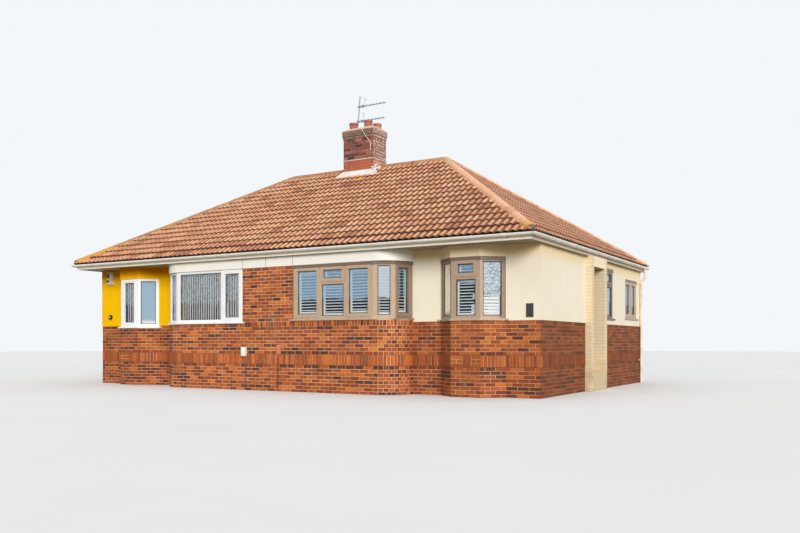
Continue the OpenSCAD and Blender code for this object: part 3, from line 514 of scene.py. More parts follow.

# RENDERED WALLS
# Smooth sand and cement render above the brickwork, under masonry paint: golden yellow on the
# left-hand house and cream on the right-hand one. It is a little dusty under the eaves, and a
# band of painted shade darkens it just under the soffit.
INNER_X, INNER_FRONT, INNER_REAR = HOUSE_X - 0.2, -3.3, 3.9  # inner faces of the outer walls
BAY_INNER_X = 3.2
# for each house: how much painted shade lies under the soffit, two shades of the paint, and the
# colour of the dust streaks and of that painted shade
WALL_TINTS = {"right": (0.4, (247, 240, 221), (243, 234, 212), (248, 210, 120)),
              "left": (0.65, (252, 197, 0), (248, 191, 0), (214, 112, 0))}
for name, (shaded, fresh, second, dust_and_shade) in WALL_TINTS.items():
    begin("masonry_paint_" + name)
    float_marks = specks(0.6, 4.0, (1, 1, 1.6))
    sand = specks(0.003, 2.0)
    x, y, z = map(along, "XYZ")
    streaks = fade(specks(0.12, 5.0, (1, 1, 9)), 0.52, 0.80) * fade(z, 2.5, 3.0)
    # painted shade: the inner faces of the outer walls, and the render within the bays, are dark
    # grey as in unlit rooms
    indoor_shade = (abs(x) < INNER_X) * (y > INNER_FRONT) * (y < INNER_REAR) + (abs(x) < BAY_INNER_X)
    # dust streaks high up on the walls, and a band of painted shade just under the soffit
    coat = coats(mix(fade(float_marks, 0.35, 0.65), fresh, second), (streaks * 0.25, *dust_and_shade),
                 (fade(z, 2.72, 2.86) * shaded, *dust_and_shade), (indoor_shade, 66, 62, 56))
    relief = sand + float_marks
    dress(complete(coat, 0.75 + sand * 0.15, relief, 0.0008, Specular_IOR_Level=0.1),
          "front_wall_" + name, "side_wall_" + name, "rear_wall_" + name)

# INSIDE
# Boarded floors, and plastered ceilings and party wall in a dark grey that is painted shade of the
# unlit rooms, which show only through the windows. The CAD pieces are kept and only get their
# finish.
begin("floor_boards")
plank = Wire.node("TexWave", {"Vector": place(), "Scale": 1.1, "Distortion": 0.2}, output="Fac",
                  bands_direction="X")
grain = specks(0.02, 4.0, (1, 14, 1))
wood = mix(plank, (50, 34, 24), mix(grain, (92, 62, 40), (70, 48, 32)))
dress(complete(wood, 0.45 + grain * 0.2, plank, 0.002), "floor")
dress(plain("plaster_with_painted_shade", (70, 66, 60), (58, 54, 49), 0.6, 0.85), "party_wall", "ceiling")

# WHITE BAND
# The lintel band over both bays, faced with white painted boards that follow the round corners
# and butt at a few joints on the front.
BAND_JOINTS = (-0.710, -0.032, 0.729)
begin("band_paint")
wear = fade(specks(0.5, 5.0), 0.5, 0.8)
x = along("X")
seams = sum(abs(x - at) < 0.005 for at in BAND_JOINTS) * (along("Y") < -4.0)
brushed = specks(0.01, 3.0, (8, 8, 1))
coat = coats(mix(wear * 0.4, (246, 245, 236), (232, 228, 214)), (seams, 110, 104, 96))
dress(complete(coat, 0.5 + wear * 0.2, brushed, 0.0008), "white_band")

# WINDOW FRAMES
# Plastic frames with lapped sashes: white on the left-hand house, and a tan woodgrain film on the
# right-hand one, with a darker trim along the heads. Painted shade darkens the right-hand hall
# window's frame and the right-hand lights turned from the lamp. Dark rubber gaskets and bevelled
# beads hold the glass in them.
BOW_MIDDLE = 4.8
HALL_Y = 2.0  # the hall window on the side lies in front of this, and the small one behind it
HEAD_TRIM = 2.7098
SIDE_HEAD_TRIM = 2.655


def panes():
    """The panes of glass of the CAD model: plan ends a and b, along the middle of their depth,
    with the inside on the left of that direction, and then bottom and top."""
    bm = bmesh.new()
    bm.from_mesh(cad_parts["glass"].data)
    bmesh.ops.remove_doubles(bm, verts=bm.verts, dist=1e-5)
    found, left = [], set(bm.verts)
    while left:
        grown, edge = set(), [left.pop()]
        while edge:
            vert = edge.pop()
            grown.add(vert)
            edge += [e.other_vert(vert) for e in vert.link_edges if e.other_vert(vert) not in grown]
        left -= grown
        spots = [Vector(at) for at in sorted({(round(v.co.x, 4), round(v.co.y, 4)) for v in grown})]
        low, high = min(v.co.z for v in grown), max(v.co.z for v in grown)
        centre = sum(spots, Vector((0, 0))) / len(spots)
        # from a corner, the second nearest is at the other end of the same face
        first = max(spots, key=lambda p: ((p - centre).length, p.x))
        other = sorted(spots, key=lambda p: (p - first).length)[2]
        way, half = (other - first).normalized(), (other - first).length / 2
        room = Vector((math.copysign(3.0, centre.x), 0.3))
        if Vector((-way.y, way.x)).dot(room - centre) < 0:
            way = -way
        found.append((centre - way * half, centre + way * half, low, high))
    bm.free()
    return sorted(found, key=lambda pane: (pane[0].x, pane[0].y, pane[2]))


def ring(bm, pane, bar, front, back, chamfer):
    """Four bars round a pane, bevelled in front; front and back lie inwards from its middle."""
    a, b, low, high = pane
    width, height = (b - a).length, high - low
    bars = bmesh.new()
    for x0, x1, z0, z1 in ((0, bar, 0, height), (width - bar, width, 0, height),
                           (bar, width - bar, 0, bar), (bar, width - bar, height - bar, height)):
        box(bars, (x0, front, z0), (x1, back, z1))
    ease(bars, chamfer, front=front + 1e-4)
    add(bm, bars, panel(a, b, low))


glazing = panes()
FRAME_TINTS = {"right": ("brown", (200, 177, 152), (178, 154, 128), (150, 124, 100)),
               "left": ("white", (246, 246, 247), (238, 239, 240), (214, 212, 206))}
for name, (hue, base, second, soiled) in FRAME_TINTS.items():
    wooden = name == "right"
    begin("frame_film_" + name)
    long_grain = specks(0.012, 4.0, (1, 1, 12) if wooden else (1, 1, 1))
    soil = fade(specks(0.3, 4.0), 0.5, 0.8) * 0.25
    film = coats(mix(fade(long_grain, 0.3, 0.7), base, second), (soil, *soiled))
    if wooden:
        x, y, z = map(along, "XYZ")
        small_window = (y > HALL_Y) * (y < INNER_REAR)
        # the real dark trim along the heads, and painted shade over the whole frame of the hall
        # window
        trim_and_shade = (y > INNER_FRONT) * (y < HALL_Y) + small_window * (z > SIDE_HEAD_TRIM)
        # painted shade on the lights turned from the lamp: the end of the bay and the ends of the
        # bow, and the bow's middle a little
        shade_turned_away = (x > 3.245) * (x < 3.5)
        shade_turned_away = shade_turned_away + (x > 4.0) * (0.3 + (abs(x - BOW_MIDDLE) > 0.61) * 0.7)
        lights = (z < HEAD_TRIM) * (z > BAY_SILL + 0.0014)
        trim_and_shade = trim_and_shade + (y < INNER_FRONT) * ((z > HEAD_TRIM) + shade_turned_away * lights * 0.75)
        film = coats(film, (trim_and_shade * 0.85, 100, 80, 68))
    made = complete(film, 0.38 + long_grain * 0.12, long_grain, 0.0004)
    dress(made, "bay_window_" + name, "bow_window_" + name, "back_windows_" + name)
    bm = bmesh.new()
    for pane in glazing:
        if (pane[0].x > 0) == wooden:
            ring(bm, pane, 0.009, -0.027, -0.010, 0.004)
    settle(bm, "glazing_beads_" + name, made, hue + "_frames")

rubber = plain("gasket_rubber", (34, 34, 36), (52, 51, 50), 0.05, 0.7)
black_metal = plain("black_metal", (26, 26, 28), (46, 45, 44), 0.03, 0.5)
bm = bmesh.new()
for pane in glazing:
    ring(bm, pane, 0.022, -0.0165, 0.0165, 0.001)
settle(bm, "glazing_gaskets", rubber, "black_metal")

# GLASS
# Sealed double panes: they pass the light and carry a painted reflection of the pale sky, most of
# it high up in each window. The inner sides of the bows carry more painted reflection: sky on the
# left-hand house, and the cream wall beside it on the right-hand one.
SKY_FROM, SKY_TO = 2.12, 2.17  # the mirrored sky begins between these heights
HEDGE_FROM, HEDGE_TO = 1.76, 1.84  # and the top of a mirrored hedge lies between these
begin("glass")
sheen = Wire.node("Fresnel", {"IOR": 1.5})
x, y = map(along, "XY")
left = x < 0
in_bow = y < FRONT_Y - 0.015
bow_middle = (abs(x - BOW_MIDDLE) < 0.32) * in_bow
inner_side = (abs(abs(x) - 4.279) < 0.19) * in_bow
outer_side = (x > 5.13) * in_bow
corner_light = (x > 2.83) * (x < 3.24) * (y < -3.88)
skyline = along("Z") + specks(0.5, 2.0, (1, 1, 20)) * 0.25
sky = fade(skyline - bow_middle * 0.23, SKY_FROM, SKY_TO)
above_hedge = fade(skyline, HEDGE_FROM, HEDGE_TO)
through = Wire.node("BsdfTransparent", {"Color": (0.96, 0.97, 0.97, 1)})
# painted reflection of dark twigs, on the left-hand house and the outer side of the right-hand bow
mirrored_twigs = fade(abs(specks(0.11, 5.0, (1, 1, 0.7)) - 0.5), 0.05, 0.01) * ((left + outer_side) > 0.5)
tint = mix(left, (0.50, 0.76, 1.0, 1), (0.84, 0.93, 1.0, 1))
tint = mix(outer_side + corner_light, tint, (0.84, 0.94, 1.0, 1))
tint = mix(inner_side, tint, mix(left, (1.0, 0.98, 0.94, 1), (0.36, 0.56, 0.73, 1)))
tint = mix(mirrored_twigs * (1 - inner_side) * 0.75, tint, (0.14, 0.17, 0.20, 1))
mirror = Wire.node("BsdfGlossy", {"Color": tint, "Roughness": 0.02})
# a ray meets the air on one face of a pane only
outside = 1 - Wire.node("NewGeometry", output="Backfacing")
bright = 0.36 - left * 0.13 + outer_side * 0.2 + corner_light * 0.25 - bow_middle * 0.06
share = sheen + sky * bright * (1 - inner_side) + inner_side * above_hedge * 0.55
share = (share * outside).maths("MINIMUM", 0.85)
Wire.node("OutputMaterial", {"Surface": Wire.node("MixShader", {0: share, 1: through, 2: mirror})})
dress(Wire.made, "glass")

# SHUTTERS AND BLINDS
# White louvred shutters in the front windows and the hall window of the right-hand house: each is
# a frame of stiles and rails with tilting slats. The left-hand house has upright fabric vanes, and
# one side window a blind.
BEHIND = 0.049  # from the middle of the glass to the middle of a shutter
SIDE_GLASS_X = 6.1
LAP_OVER = 0.010  # shutters and blinds are this much larger than the pane on each side
SHUTTER_THICK = 0.028
SLAT_PITCH, SLAT_WIDE, SLAT_THICK = 0.062, 0.056, 0.009
BLIND_PITCH, VANE_PITCH, VANE_WIDE, CLOTH_THICK = 0.025, 0.075, 0.084, 0.0012


def behind(a, b):
    """What hangs behind a pane: a shutter, vanes, a blind or nothing."""
    middle = (a + b) / 2
    if middle.y < INNER_FRONT:
        return "shutter" if middle.x > 0 else "vanes"
    if middle.x > SIDE_GLASS_X:
        return "shutter" if middle.y < HALL_Y else "blind"
    return None


def turned(at, degrees, axis, *size):
    """A unit shape at a place, turned about an axis after it was given its size."""
    turn = Matrix.Rotation(math.radians(degrees), 4, axis)
    return Matrix.Translation(at) @ turn @ Matrix.Diagonal((*(size or (1, 1, 1)), 1))


shutter_white = plain("shutter_paint", (240, 241, 242), (230, 231, 232), 0.2, 0.42, 0.006, 0.0003)
bm = bmesh.new()
for a, b, low, high in glazing:
    if behind(a, b) != "shutter":
        continue
    shutter = bmesh.new()
    wide, tall = (b - a).length, high - low
    stile = 0.045 if wide > 0.35 else 0.030
    rail = 0.062 if tall > 0.5 else 0.030
    for x0, x1 in ((-LAP_OVER, stile), (wide - stile, wide + LAP_OVER)):
        box(shutter, (x0, 0, -LAP_OVER), (x1, SHUTTER_THICK, tall + LAP_OVER))
    for z0, z1 in ((-LAP_OVER, rail), (tall - rail, tall + LAP_OVER)):
        box(shutter, (stile, 0.002, z0), (wide - stile, SHUTTER_THICK - 0.002, z1))
    ease(shutter, 0.003)
    count = round((tall - 2 * rail) / SLAT_PITCH)
    pitch = (tall - 2 * rail) / count
    shut = 0.4 < abs((a.x + b.x) / 2 - BOW_MIDDLE) < 0.8  # both sides of the bow
    size = (wide - 2 * stile - 0.002, SLAT_WIDE, SLAT_THICK)
    for i in range(count):
        at = (wide / 2, SHUTTER_THICK / 2, rail + (i + 0.5) * pitch)
        shape = turned(at, 74 if shut else 23, "X", *size) @ turned((0, 0, 0), 90, "Y")
        bmesh.ops.create_cone(shutter, cap_ends=True, segments=10, radius1=0.5, radius2=0.5,
                              depth=1, matrix=shape)
    set_in = Matrix.Translation((0, BEHIND - SHUTTER_THICK / 2, 0))
    add(bm, shutter, panel(a, b, low) @ set_in)
settle(bm, "louvred_shutters", shutter_white, "shutter_paint", "shutters", smooth=40)

begin("vane_fabric")
weave = Wire.node("TexWave", {"Vector": place(), "Scale": 260.0, "Distortion": 1.0}, output="Fac",
                  bands_direction="Z")
cloth = specks(0.004, 2.0)
cloth_tint = mix(cloth * 0.6, (246, 246, 244), (232, 232, 230))
vane_cloth = complete(cloth_tint, 0.8 + cloth * 0.1, weave + cloth, 0.0003)
bm = bmesh.new()
for a, b, low, high in glazing:
    kind = behind(a, b)
    blind = bmesh.new()
    wide, tall = (b - a).length, high - low
    strips = []
    if kind == "blind":
        for i in range(int(tall / BLIND_PITCH)):
            at = (wide / 2, 0, (i + 0.5) * BLIND_PITCH)
            strips.append(turned(at, 55, "X", wide + LAP_OVER, 0.026, CLOTH_THICK))
    elif kind == "vanes":
        # the vanes are half open, but shut in the inner side of the bow
        turn = 6 if -4.7 < (a.x + b.x) / 2 < -4.0 else -27
        count = max(round(wide / VANE_PITCH), 2)
        for i in range(count):
            at, degrees = ((i + 0.5) * wide / count, 0, tall / 2 - 0.005), random.uniform(-3, 3)
            strips.append(turned(at, turn + degrees, "Z", VANE_WIDE, CLOTH_THICK, tall + 0.015))
    for shape in strips:
        bmesh.ops.create_cube(blind, size=1, matrix=shape)
    if kind == "vanes":
        box(blind, (-LAP_OVER, -0.02, tall - 0.005), (wide + LAP_OVER, 0.02, tall + 0.012))
    add(bm, blind, panel(a, b, low) @ Matrix.Translation((0, BEHIND + 0.005, 0)))
settle(bm, "window_blinds", vane_cloth, "blind_fabric", "blinds")

# FRONT DOORS
# Panelled timber doors at the back of the porches, each under a small light, with a brass knob and
# letter plate. They don't show in the photograph.
DOOR_X = 6.025
WIDE, TALL = DOORWAY[1] - DOORWAY[0], HEAD - FLOOR
JAMB = 0.05
TRANSOM, TRANSOM_TOP = 1.98, 1.98 + 0.06
EDGE, STILE, FOOT_RAIL = 0.055, 0.165, 0.22  # of the leaf
LOCK, LOCK_TOP, TOP_RAIL = 0.92, 0.92 + 0.15, TRANSOM - 0.12
LEAF_TOP = TRANSOM - 0.003
KNOB = (0.70, -0.028, 1.0)
# how deep the face of a member lies, and how thick it is
FRAME, LEAF, PANEL, LIGHT = (0, 0.070), (0.012, 0.046), (0.025, 0.020), (0.028, 0.014)
begin("door_wood")
grain = specks(0.015, 5.0, (1, 1, 16))
stained = mix(grain, (112, 66, 40), (72, 40, 26))
door_wood = complete(stained, 0.35 + grain * 0.2, grain, 0.0008)
# each member from one side to the other, and from the bottom up
clear, leaf = (JAMB, WIDE - JAMB), (STILE, WIDE - STILE)
members = [(0, JAMB, 0, TALL, FRAME), (WIDE - JAMB, WIDE, 0, TALL, FRAME),
           (*clear, TALL - JAMB, TALL, FRAME), (*clear, TRANSOM, TRANSOM_TOP, FRAME),
           (*clear, 0, 0.03, FRAME), (*clear, TRANSOM_TOP, TALL - JAMB, LIGHT),
           (EDGE, STILE, 0.032, LEAF_TOP, LEAF), (WIDE - STILE, WIDE - EDGE, 0.032, LEAF_TOP, LEAF),
           (*leaf, 0.032, FOOT_RAIL, LEAF), (*leaf, LOCK, LOCK_TOP, LEAF),
           (*leaf, TOP_RAIL, LEAF_TOP, LEAF),
           (WIDE / 2 - 0.05, WIDE / 2 + 0.05, FOOT_RAIL, LOCK, LEAF),
           (WIDE / 2 - 0.02, WIDE / 2 + 0.02, LOCK_TOP, TOP_RAIL, LEAF),
           (*leaf, FOOT_RAIL, LOCK, PANEL), (*leaf, LOCK_TOP, TOP_RAIL, LIGHT)]
brass = plain("door_brass", (196, 160, 92), (150, 118, 62), 0.02, 0.3, Metallic=1.0)
doors, furniture = bmesh.new(), bmesh.new()
for side in (1, -1):
    a, b, _ = on_side(side, (DOOR_X, DOORWAY[0]), (DOOR_X, DOORWAY[1]), ())
    door = bmesh.new()
    for x0, x1, z0, z1, (deep, thick) in members:
        box(door, (x0, deep, z0), (x1, deep + thick, z1))
    ease(door, 0.003)
    add(doors, door, panel(a, b, FLOOR))
    knob = bmesh.new()
    bmesh.ops.create_uvsphere(knob, u_segments=16, v_segments=10, radius=0.026)
    bmesh.ops.translate(knob, verts=knob.verts, vec=KNOB)
    bmesh.ops.create_cone(knob, cap_ends=True, segments=16, radius1=0.012, radius2=0.012,
                          depth=0.05, matrix=turned((KNOB[0], -0.010, KNOB[2]), 90, "X"))
    box(knob, (0.30, 0.004, 0.985), (0.52, 0.014, 1.035))
    add(furniture, knob, panel(a, b, FLOOR))
settle(doors, "panelled_doors", door_wood, "door_wood", "front_doors")
settle(furniture, "door_furniture", brass, "black_metal", smooth=40)

# EAVES
# Cream boards under and along the eaves, those underneath darkened with painted shade, and a white
# plastic gutter all round, held by brackets and joined by wider unions. It is streaked with dirt,
# more along the sides than at the front.
FASCIA_X, FASCIA_Y = 6.335, 4.175
SOFFIT_TOP = 3.022
begin("eaves_paint")
wear = fade(specks(0.3, 5.0), 0.45, 0.8)
brushed = specks(0.01, 3.0)
x, y, z = map(along, "XYZ")
soffit_shade = (z < SOFFIT_TOP) * (abs(x) < FASCIA_X) * (abs(y) < FASCIA_Y)
# the boards underneath the eaves are darkened with painted shade
coat = coats(mix(wear * 0.5, (250, 246, 232), (234, 224, 198)), (soffit_shade * 0.88, 140, 116, 72),
             ((abs(x) > FASCIA_X) * 0.35, 150, 122, 84))
dress(complete(coat, 0.55 + wear * 0.2, brushed, 0.0006), "soffit", "fascia")
begin("gutter_plastic")
sides = fade(abs(along("X")), 6.3, 6.36)
drips = fade(specks(0.05, 5.0, (1, 1, 6)), 0.45, 0.75) * (0.10 + sides * 0.45)
streaks = specks(0.3, 5.0)
coat = mix(fade(streaks, 0.3, 0.7), (250, 250, 244), (240, 238, 228))
gutter_paint = complete(coats(coat, (drips, 150, 140, 112)), 0.35 + drips * 0.4, streaks, 0.0005)
dress(gutter_paint, "gutter")
dress(plain("downpipe_paint", (242, 232, 208), (214, 200, 168), 0.25, 0.4), "downpipes")

GUTTER_R = 0.057
GUTTER_X = 6.397
GUTTER_Y = 4.237
GUTTER_Z = 3.115
BRACKET, UNION = 0.028, 0.11
FRONT_BRACKETS = (-5.380, -4.485, -3.629, -2.708, -1.829, -1.112, -0.748, 0.2, 1.2, 2.1, 3.112,
                  4.156, 5.156, 5.815)
FRONT_UNIONS = (-1.112, 5.815)


def saddle(bm, x, y, union, turn=0):
    """A half-round band under the gutter, which runs along X, or is turned from it."""
    wide, thick = UNION if union else BRACKET, 0.004
    band = bmesh.new()
    box(band, (-wide / 2, GUTTER_R - 0.001, -thick), (wide / 2, GUTTER_R + thick, 0.0))
    edge = [f for f in band.faces if f.normal.z < -0.9]
    bmesh.ops.spin(band, geom=edge, axis=(1, 0, 0), cent=(0, 0, 0), angle=-math.pi, steps=12)
    bmesh.ops.remove_doubles(band, verts=band.verts, dist=1e-5)
    add(bm, band, turned((x, y, GUTTER_Z), turn, "Z"))


bm = bmesh.new()
for i, x in enumerate(FRONT_BRACKETS):
    saddle(bm, x, -GUTTER_Y, x in FRONT_UNIONS)
    saddle(bm, x, GUTTER_Y, i % 4 == 2)
for i in range(9):
    for side in (-1, 1):
        saddle(bm, side * GUTTER_X, (i - 4) * 0.98, i % 4 == 2, 90)
settle(bm, "gutter_brackets", gutter_paint, "gutter_plastic", smooth=40)
clip = bmesh.new()
box(clip, (5.815, -4.196, 3.052), (5.885, -4.178, 3.084))
ease(clip, 0.004, 2)
settle(clip, "fascia_clip", rubber, "black_metal")

# ROOF TILES
# Interlocking clay tiles with two rolls each, in 16 rows on every slope and in straight columns.
# The CAD slopes are the dark underlay, which shows under the rolls at the eaves. The tiles are cut
# along the hips and the ridge.
EDGE_X = 6.390
EDGE_Y = 4.230
EDGE_Z = 3.150
RIDGE_Z = 5.700
RIDGE_END = 2.400
ROLL = 0.152
TILE = 2 * ROLL
ROWS = 16
LAP = 0.075
OVERHANG = 0.040
ROLL_HIGH = 0.034
TILE_THICK = 0.012
TAIL_LIFT = 0.020
HIP_CLEAR, RIDGE_CLEAR = 0.03, 0.02  # the tiles are cut this far short of the hips and the ridge
HIP_RUN = 0.943  # how far a hip goes sideways in plan for each metre to the front

dress(plain("roof_underlay", (58, 48, 42), (40, 34, 31), 0.3, 0.9),
      "roof_front", "roof_rear", "roof_left", "roof_right")

begin("roof_clay")
trough, run = carried("trough"), carried("run")
weather = fade(specks(0.7, 5.0), 0.40, 0.75)
moss = fade(specks(0.05, 5.0), 0.60, 0.72) * fade(specks(0.9, 3.0), 0.45, 0.7)
lichen = fade(specks(0.03, 4.0), 0.68, 0.72) * fade(specks(0.6, 3.0), 0.5, 0.65)
soot = fade(specks(0.14, 5.0), 0.35, 0.75)
grit = specks(0.008, 3.0)
# painted shade, with some dirt, at the head of a tile under the next tail, along its tail and in
# its troughs
grime_and_shade = fade(run, 0.58, 0.76) + fade(run, 0.035, 0.01) * 0.7 + fade(trough, 0.42, 0.85)
grime_and_shade = (grime_and_shade + soot * 0.2 - 0.1).maths("MAXIMUM", 0.0).maths("MINIMUM", 1.0)
# the right-hand slope is duller, and a patch of yellow lichen grows below the stack
x, y = map(along, "XY")
right_slope = fade(x - abs(y) * HIP_RUN, RIDGE_END - 0.02, RIDGE_END + 0.04)
below_stack = abs(x - 0.25) * 0.6 + abs(y + 0.70) + specks(0.06, 4.0) * 0.22
body = shades(carried("tone"), (0.0, 186, 119, 87), (0.12, 225, 154, 111), (0.5, 241, 175, 128),
              (0.88, 249, 191, 144), (1.0, 235, 162, 129))
body = coats(body, (weather * 0.30, 158, 104, 76), (soot * 0.25, 138, 86, 64),
             (moss * 0.45, 132, 112, 66), (lichen * 0.7, 222, 196, 140), (grime_and_shade * 0.91, 64, 37, 27),
             (right_slope * 0.42, 120, 84, 74),
             (fade(below_stack, 0.24, 0.17) * 0.85, 232, 184, 24), (grit * 0.3, 120, 74, 54))
clay = complete(body, 0.72 + grit * 0.2, grit + soot, 0.0015)


def crest(x):
    """1 on top of a roll, 0 in a trough."""
    return 0.5 - 0.5 * math.cos(2 * math.pi * x / ROLL)


def tile(gauge):
    """One tile, flat along X and up Y from its tail, with its rolls in the middle of each half:
    the place of each vertex, with how far up the tile and how deep in a trough it lies, and the
    vertices of each face."""
    bm = bmesh.new()
    size = Matrix.Diagonal((TILE / 2 - 0.0005, (gauge + LAP) / 2, 1, 1))
    bmesh.ops.create_grid(bm, x_segments=12, y_segments=1, size=1, matrix=size)
    for vert in bm.verts:
        vert.co.z = ROLL_HIGH * crest(vert.co.x) + (TAIL_LIFT if vert.co.y < 0 else 0)
        vert.co.y += (gauge + LAP) / 2
    top = bmesh.ops.extrude_face_region(bm, geom=bm.faces[:])["geom"]
    top = [v for v in top if isinstance(v, bmesh.types.BMVert)]
    bmesh.ops.translate(bm, vec=(0, 0, TILE_THICK), verts=top)
    bmesh.ops.recalc_face_normals(bm, faces=bm.faces)
    bm.verts.index_update()
    places = [(v.co.copy(), v.co.y / (gauge + LAP), 1 - crest(v.co.x)) for v in bm.verts]
    return places, [[v.index for v in f.verts] for f in bm.faces]


# each slope is laid as if it faced the front: its eaves lie far out and reach half to either side,
# and its top lies near the middle and reaches end to either side
RISE = RIDGE_Z - EDGE_Z
LAYERS = ("run", "trough")
for name, angle in (("front", 0), ("rear", 180), ("right", 90), ("left", -90)):
    long_slope = name in ("front", "rear")
    far, half = (EDGE_Y, EDGE_X) if long_slope else (EDGE_X, EDGE_Y)
    near, end = (0, RIDGE_END) if long_slope else (RIDGE_END, 0)
    long = math.hypot(far - near, RISE)
    gauge = long / ROWS
    places, sides = tile(gauge)
    facing = Matrix.Rotation(math.radians(angle), 4, "Z")
    pitched = Matrix.Rotation(math.atan2(RISE, far - near), 4, "X")
    slope = facing @ Matrix.Translation((0, -far, EDGE_Z)) @ pitched
    columns = math.ceil(half / TILE)
    bm = toned()
    for layer in LAYERS:
        bm.verts.layers.float.new(layer)
    layers = [bm.verts.layers.float[layer] for layer in LAYERS]
    tones = bm.faces.layers.float["tone"]
    for row in range(ROWS):
        for column in range(-columns, columns + 1):
            u, v = column * TILE, row * gauge - OVERHANG
            spot = slope @ Vector((u, v + gauge / 2, 0))
            in_stack = abs(spot.x) < 0.40 and -0.30 < spot.y < 0.20
            beyond_hip = abs(u) - TILE / 2 > half - (half - end) * max(v, 0) / long
            if in_stack or beyond_hip:
                continue
            u, v = u + random.uniform(-0.001, 0.001), v + random.uniform(-0.004, 0.004)
            lift = random.uniform(0, 0.0025) - (0 if row else 0.012)
            verts = []
            for spot, *values in places:
                verts.append(bm.verts.new(slope @ (spot + Vector((u, v, lift)))))
                for layer, value in zip(layers, values):
                    verts[-1][layer] = value
            shade = random.random()
            for corners in sides:
                bm.faces.new([verts[i] for i in corners])[tones] = shade
    for hip in (-1, 1):
        foot, head = Vector((hip * half, -far, 0)), Vector((hip * end, -near, 0))
        way = (head - foot).normalized()
        out = hip * Vector((way.y, -way.x, 0))
        rim = slit(bm, facing @ (foot - out * HIP_CLEAR), facing.to_3x3() @ out, clear_outer=True)
        bmesh.ops.holes_fill(bm, edges=rim, sides=0)
    if long_slope:
        top = facing @ Vector((0, -RIDGE_CLEAR, 0))
        slit(bm, top, facing.to_3x3() @ Vector((0, 1, 0)), clear_outer=True)
    settle(bm, name + "_tiles", clay, "roof_tiles", smooth=40)

# RIDGE AND HIP TILES
# Half-round clay tiles end to end, paler than the rest, bedded on mortar that shows in their
# joints. The CAD rounds are the mortar. Yellow lichen grows on the feet of the front hips and on
# a few ridge tiles.
HALF_ROUND = 0.113
HALF_ROUND_LONG = 0.450
HALF_ROUND_GAP = 0.008
HALF_ROUND_THICK = 0.007
RIDGE_AXIS, HIP_FOOT = 5.670, 3.120  # heights of their middles on the ridge and at the eaves
bedding = plain("bedding_mortar", (150, 136, 116), (112, 94, 78), 0.2, 0.9, 0.005, 0.002)
dress(bedding, "ridge_tiles", "hip_tiles")

begin("ridge_clay")
weather = fade(specks(0.12, 5.0), 0.40, 0.75)
grit = specks(0.008, 3.0)
x, y, z = map(along, "XYZ")
left = x < 0
on_left_hip = left * fade(specks(0.5), 0.45, 0.6) * fade(z, 4.6, 3.6)
low = fade(z - left * 0.25, 3.42, 3.22) + on_left_hip * 0.6
foot = (low + specks(0.06, 5.0) * 0.9 - 0.45).maths("MAXIMUM", 0.0).maths("MINIMUM", 1.0) * (y < 0)
brown = (1 - fade(x, 1.5, 3.2)) * (0.62 + weather * 0.3)
body = shades(carried("tone"), (0.0, 220, 164, 128), (0.5, 238, 185, 147), (1.0, 244, 197, 160))
body = coats(body, (weather * 0.4, 196, 138, 104), (brown, 132, 92, 58),
             (foot * 0.9, 214, 158, 40), (grit * 0.3, 150, 100, 74))
ridge_clay = complete(body, 0.72 + grit * 0.2, grit + weather, 0.0015)

ends = [(Vector((side * 0.50, 0, RIDGE_AXIS)), Vector((side * (RIDGE_END + 0.04), 0, RIDGE_AXIS)))
        for side in (1, -1)]
for x, y in ((1, 1), (1, -1), (-1, 1), (-1, -1)):
    ends.append((Vector((x * EDGE_X, y * EDGE_Y, HIP_FOOT)),
                 Vector((x * RIDGE_END, 0, RIDGE_AXIS))))
bm = toned()
for a, b in ends:
    way = (b - a).normalized()
    a = a + way * (0.10 if way.z > 0.1 else 0)
    turn = way.to_track_quat("X", "Z").to_matrix().to_4x4()
    count = round((b - a).length / (HALF_ROUND_LONG + HALF_ROUND_GAP))
    long = (b - a).length / count
    for i in range(count):
        shell = toned()
        box(shell, (0, HALF_ROUND - HALF_ROUND_THICK, -0.004),
            (long - HALF_ROUND_GAP, HALF_ROUND, 0))
        under = [f for f in shell.faces if f.normal.z > 0.9]
        bmesh.ops.spin(shell, geom=under, axis=(1, 0, 0), cent=(0, 0, 0), angle=math.pi, steps=12)
        bmesh.ops.remove_doubles(shell, verts=shell.verts, dist=1e-5)
        layer, shade = shell.faces.layers.float["tone"], random.random()
        for face in shell.faces:
            face[layer] = shade
        wobble = turned((0, 0, random.uniform(0, 0.003)), random.uniform(-0.5, 0.5), "Z")
        add(bm, shell, Matrix.Translation(a + way * i * long) @ turn @ wobble)
settle(bm, "half_round_tiles", ridge_clay, "ridge_tiles", smooth=40)

# CHIMNEY
# Stretcher-bonded bricks that turn the corners, dark with soot above a pale strip and paler on the
# right side, with mortar smears and painted light there, and with three courses stepping out under
# a mortar cap that holds the pots.
STACK = ((-0.470, -0.360), (0.470, -0.360), (0.470, 0.260), (-0.470, 0.260))
STACK_TOP = 6.710
# how far out, how many rows, from how many rows below the top, and parity
STEPS = ((0.0, 16, 19, 0), (0.014, 1, 3, 0), (0.028, 2, 2, 1))
STRIP = (5.905, 5.927)
begin("stack_brick")
x, z = map(along, "XZ")
patches = specks(0.10, 5.0)
base = (z < STRIP[0]) * (0.45 + patches * 0.5)
corbels = (z > STACK_TOP - 0.230) * fade(patches, 0.30, 0.62) * 0.80
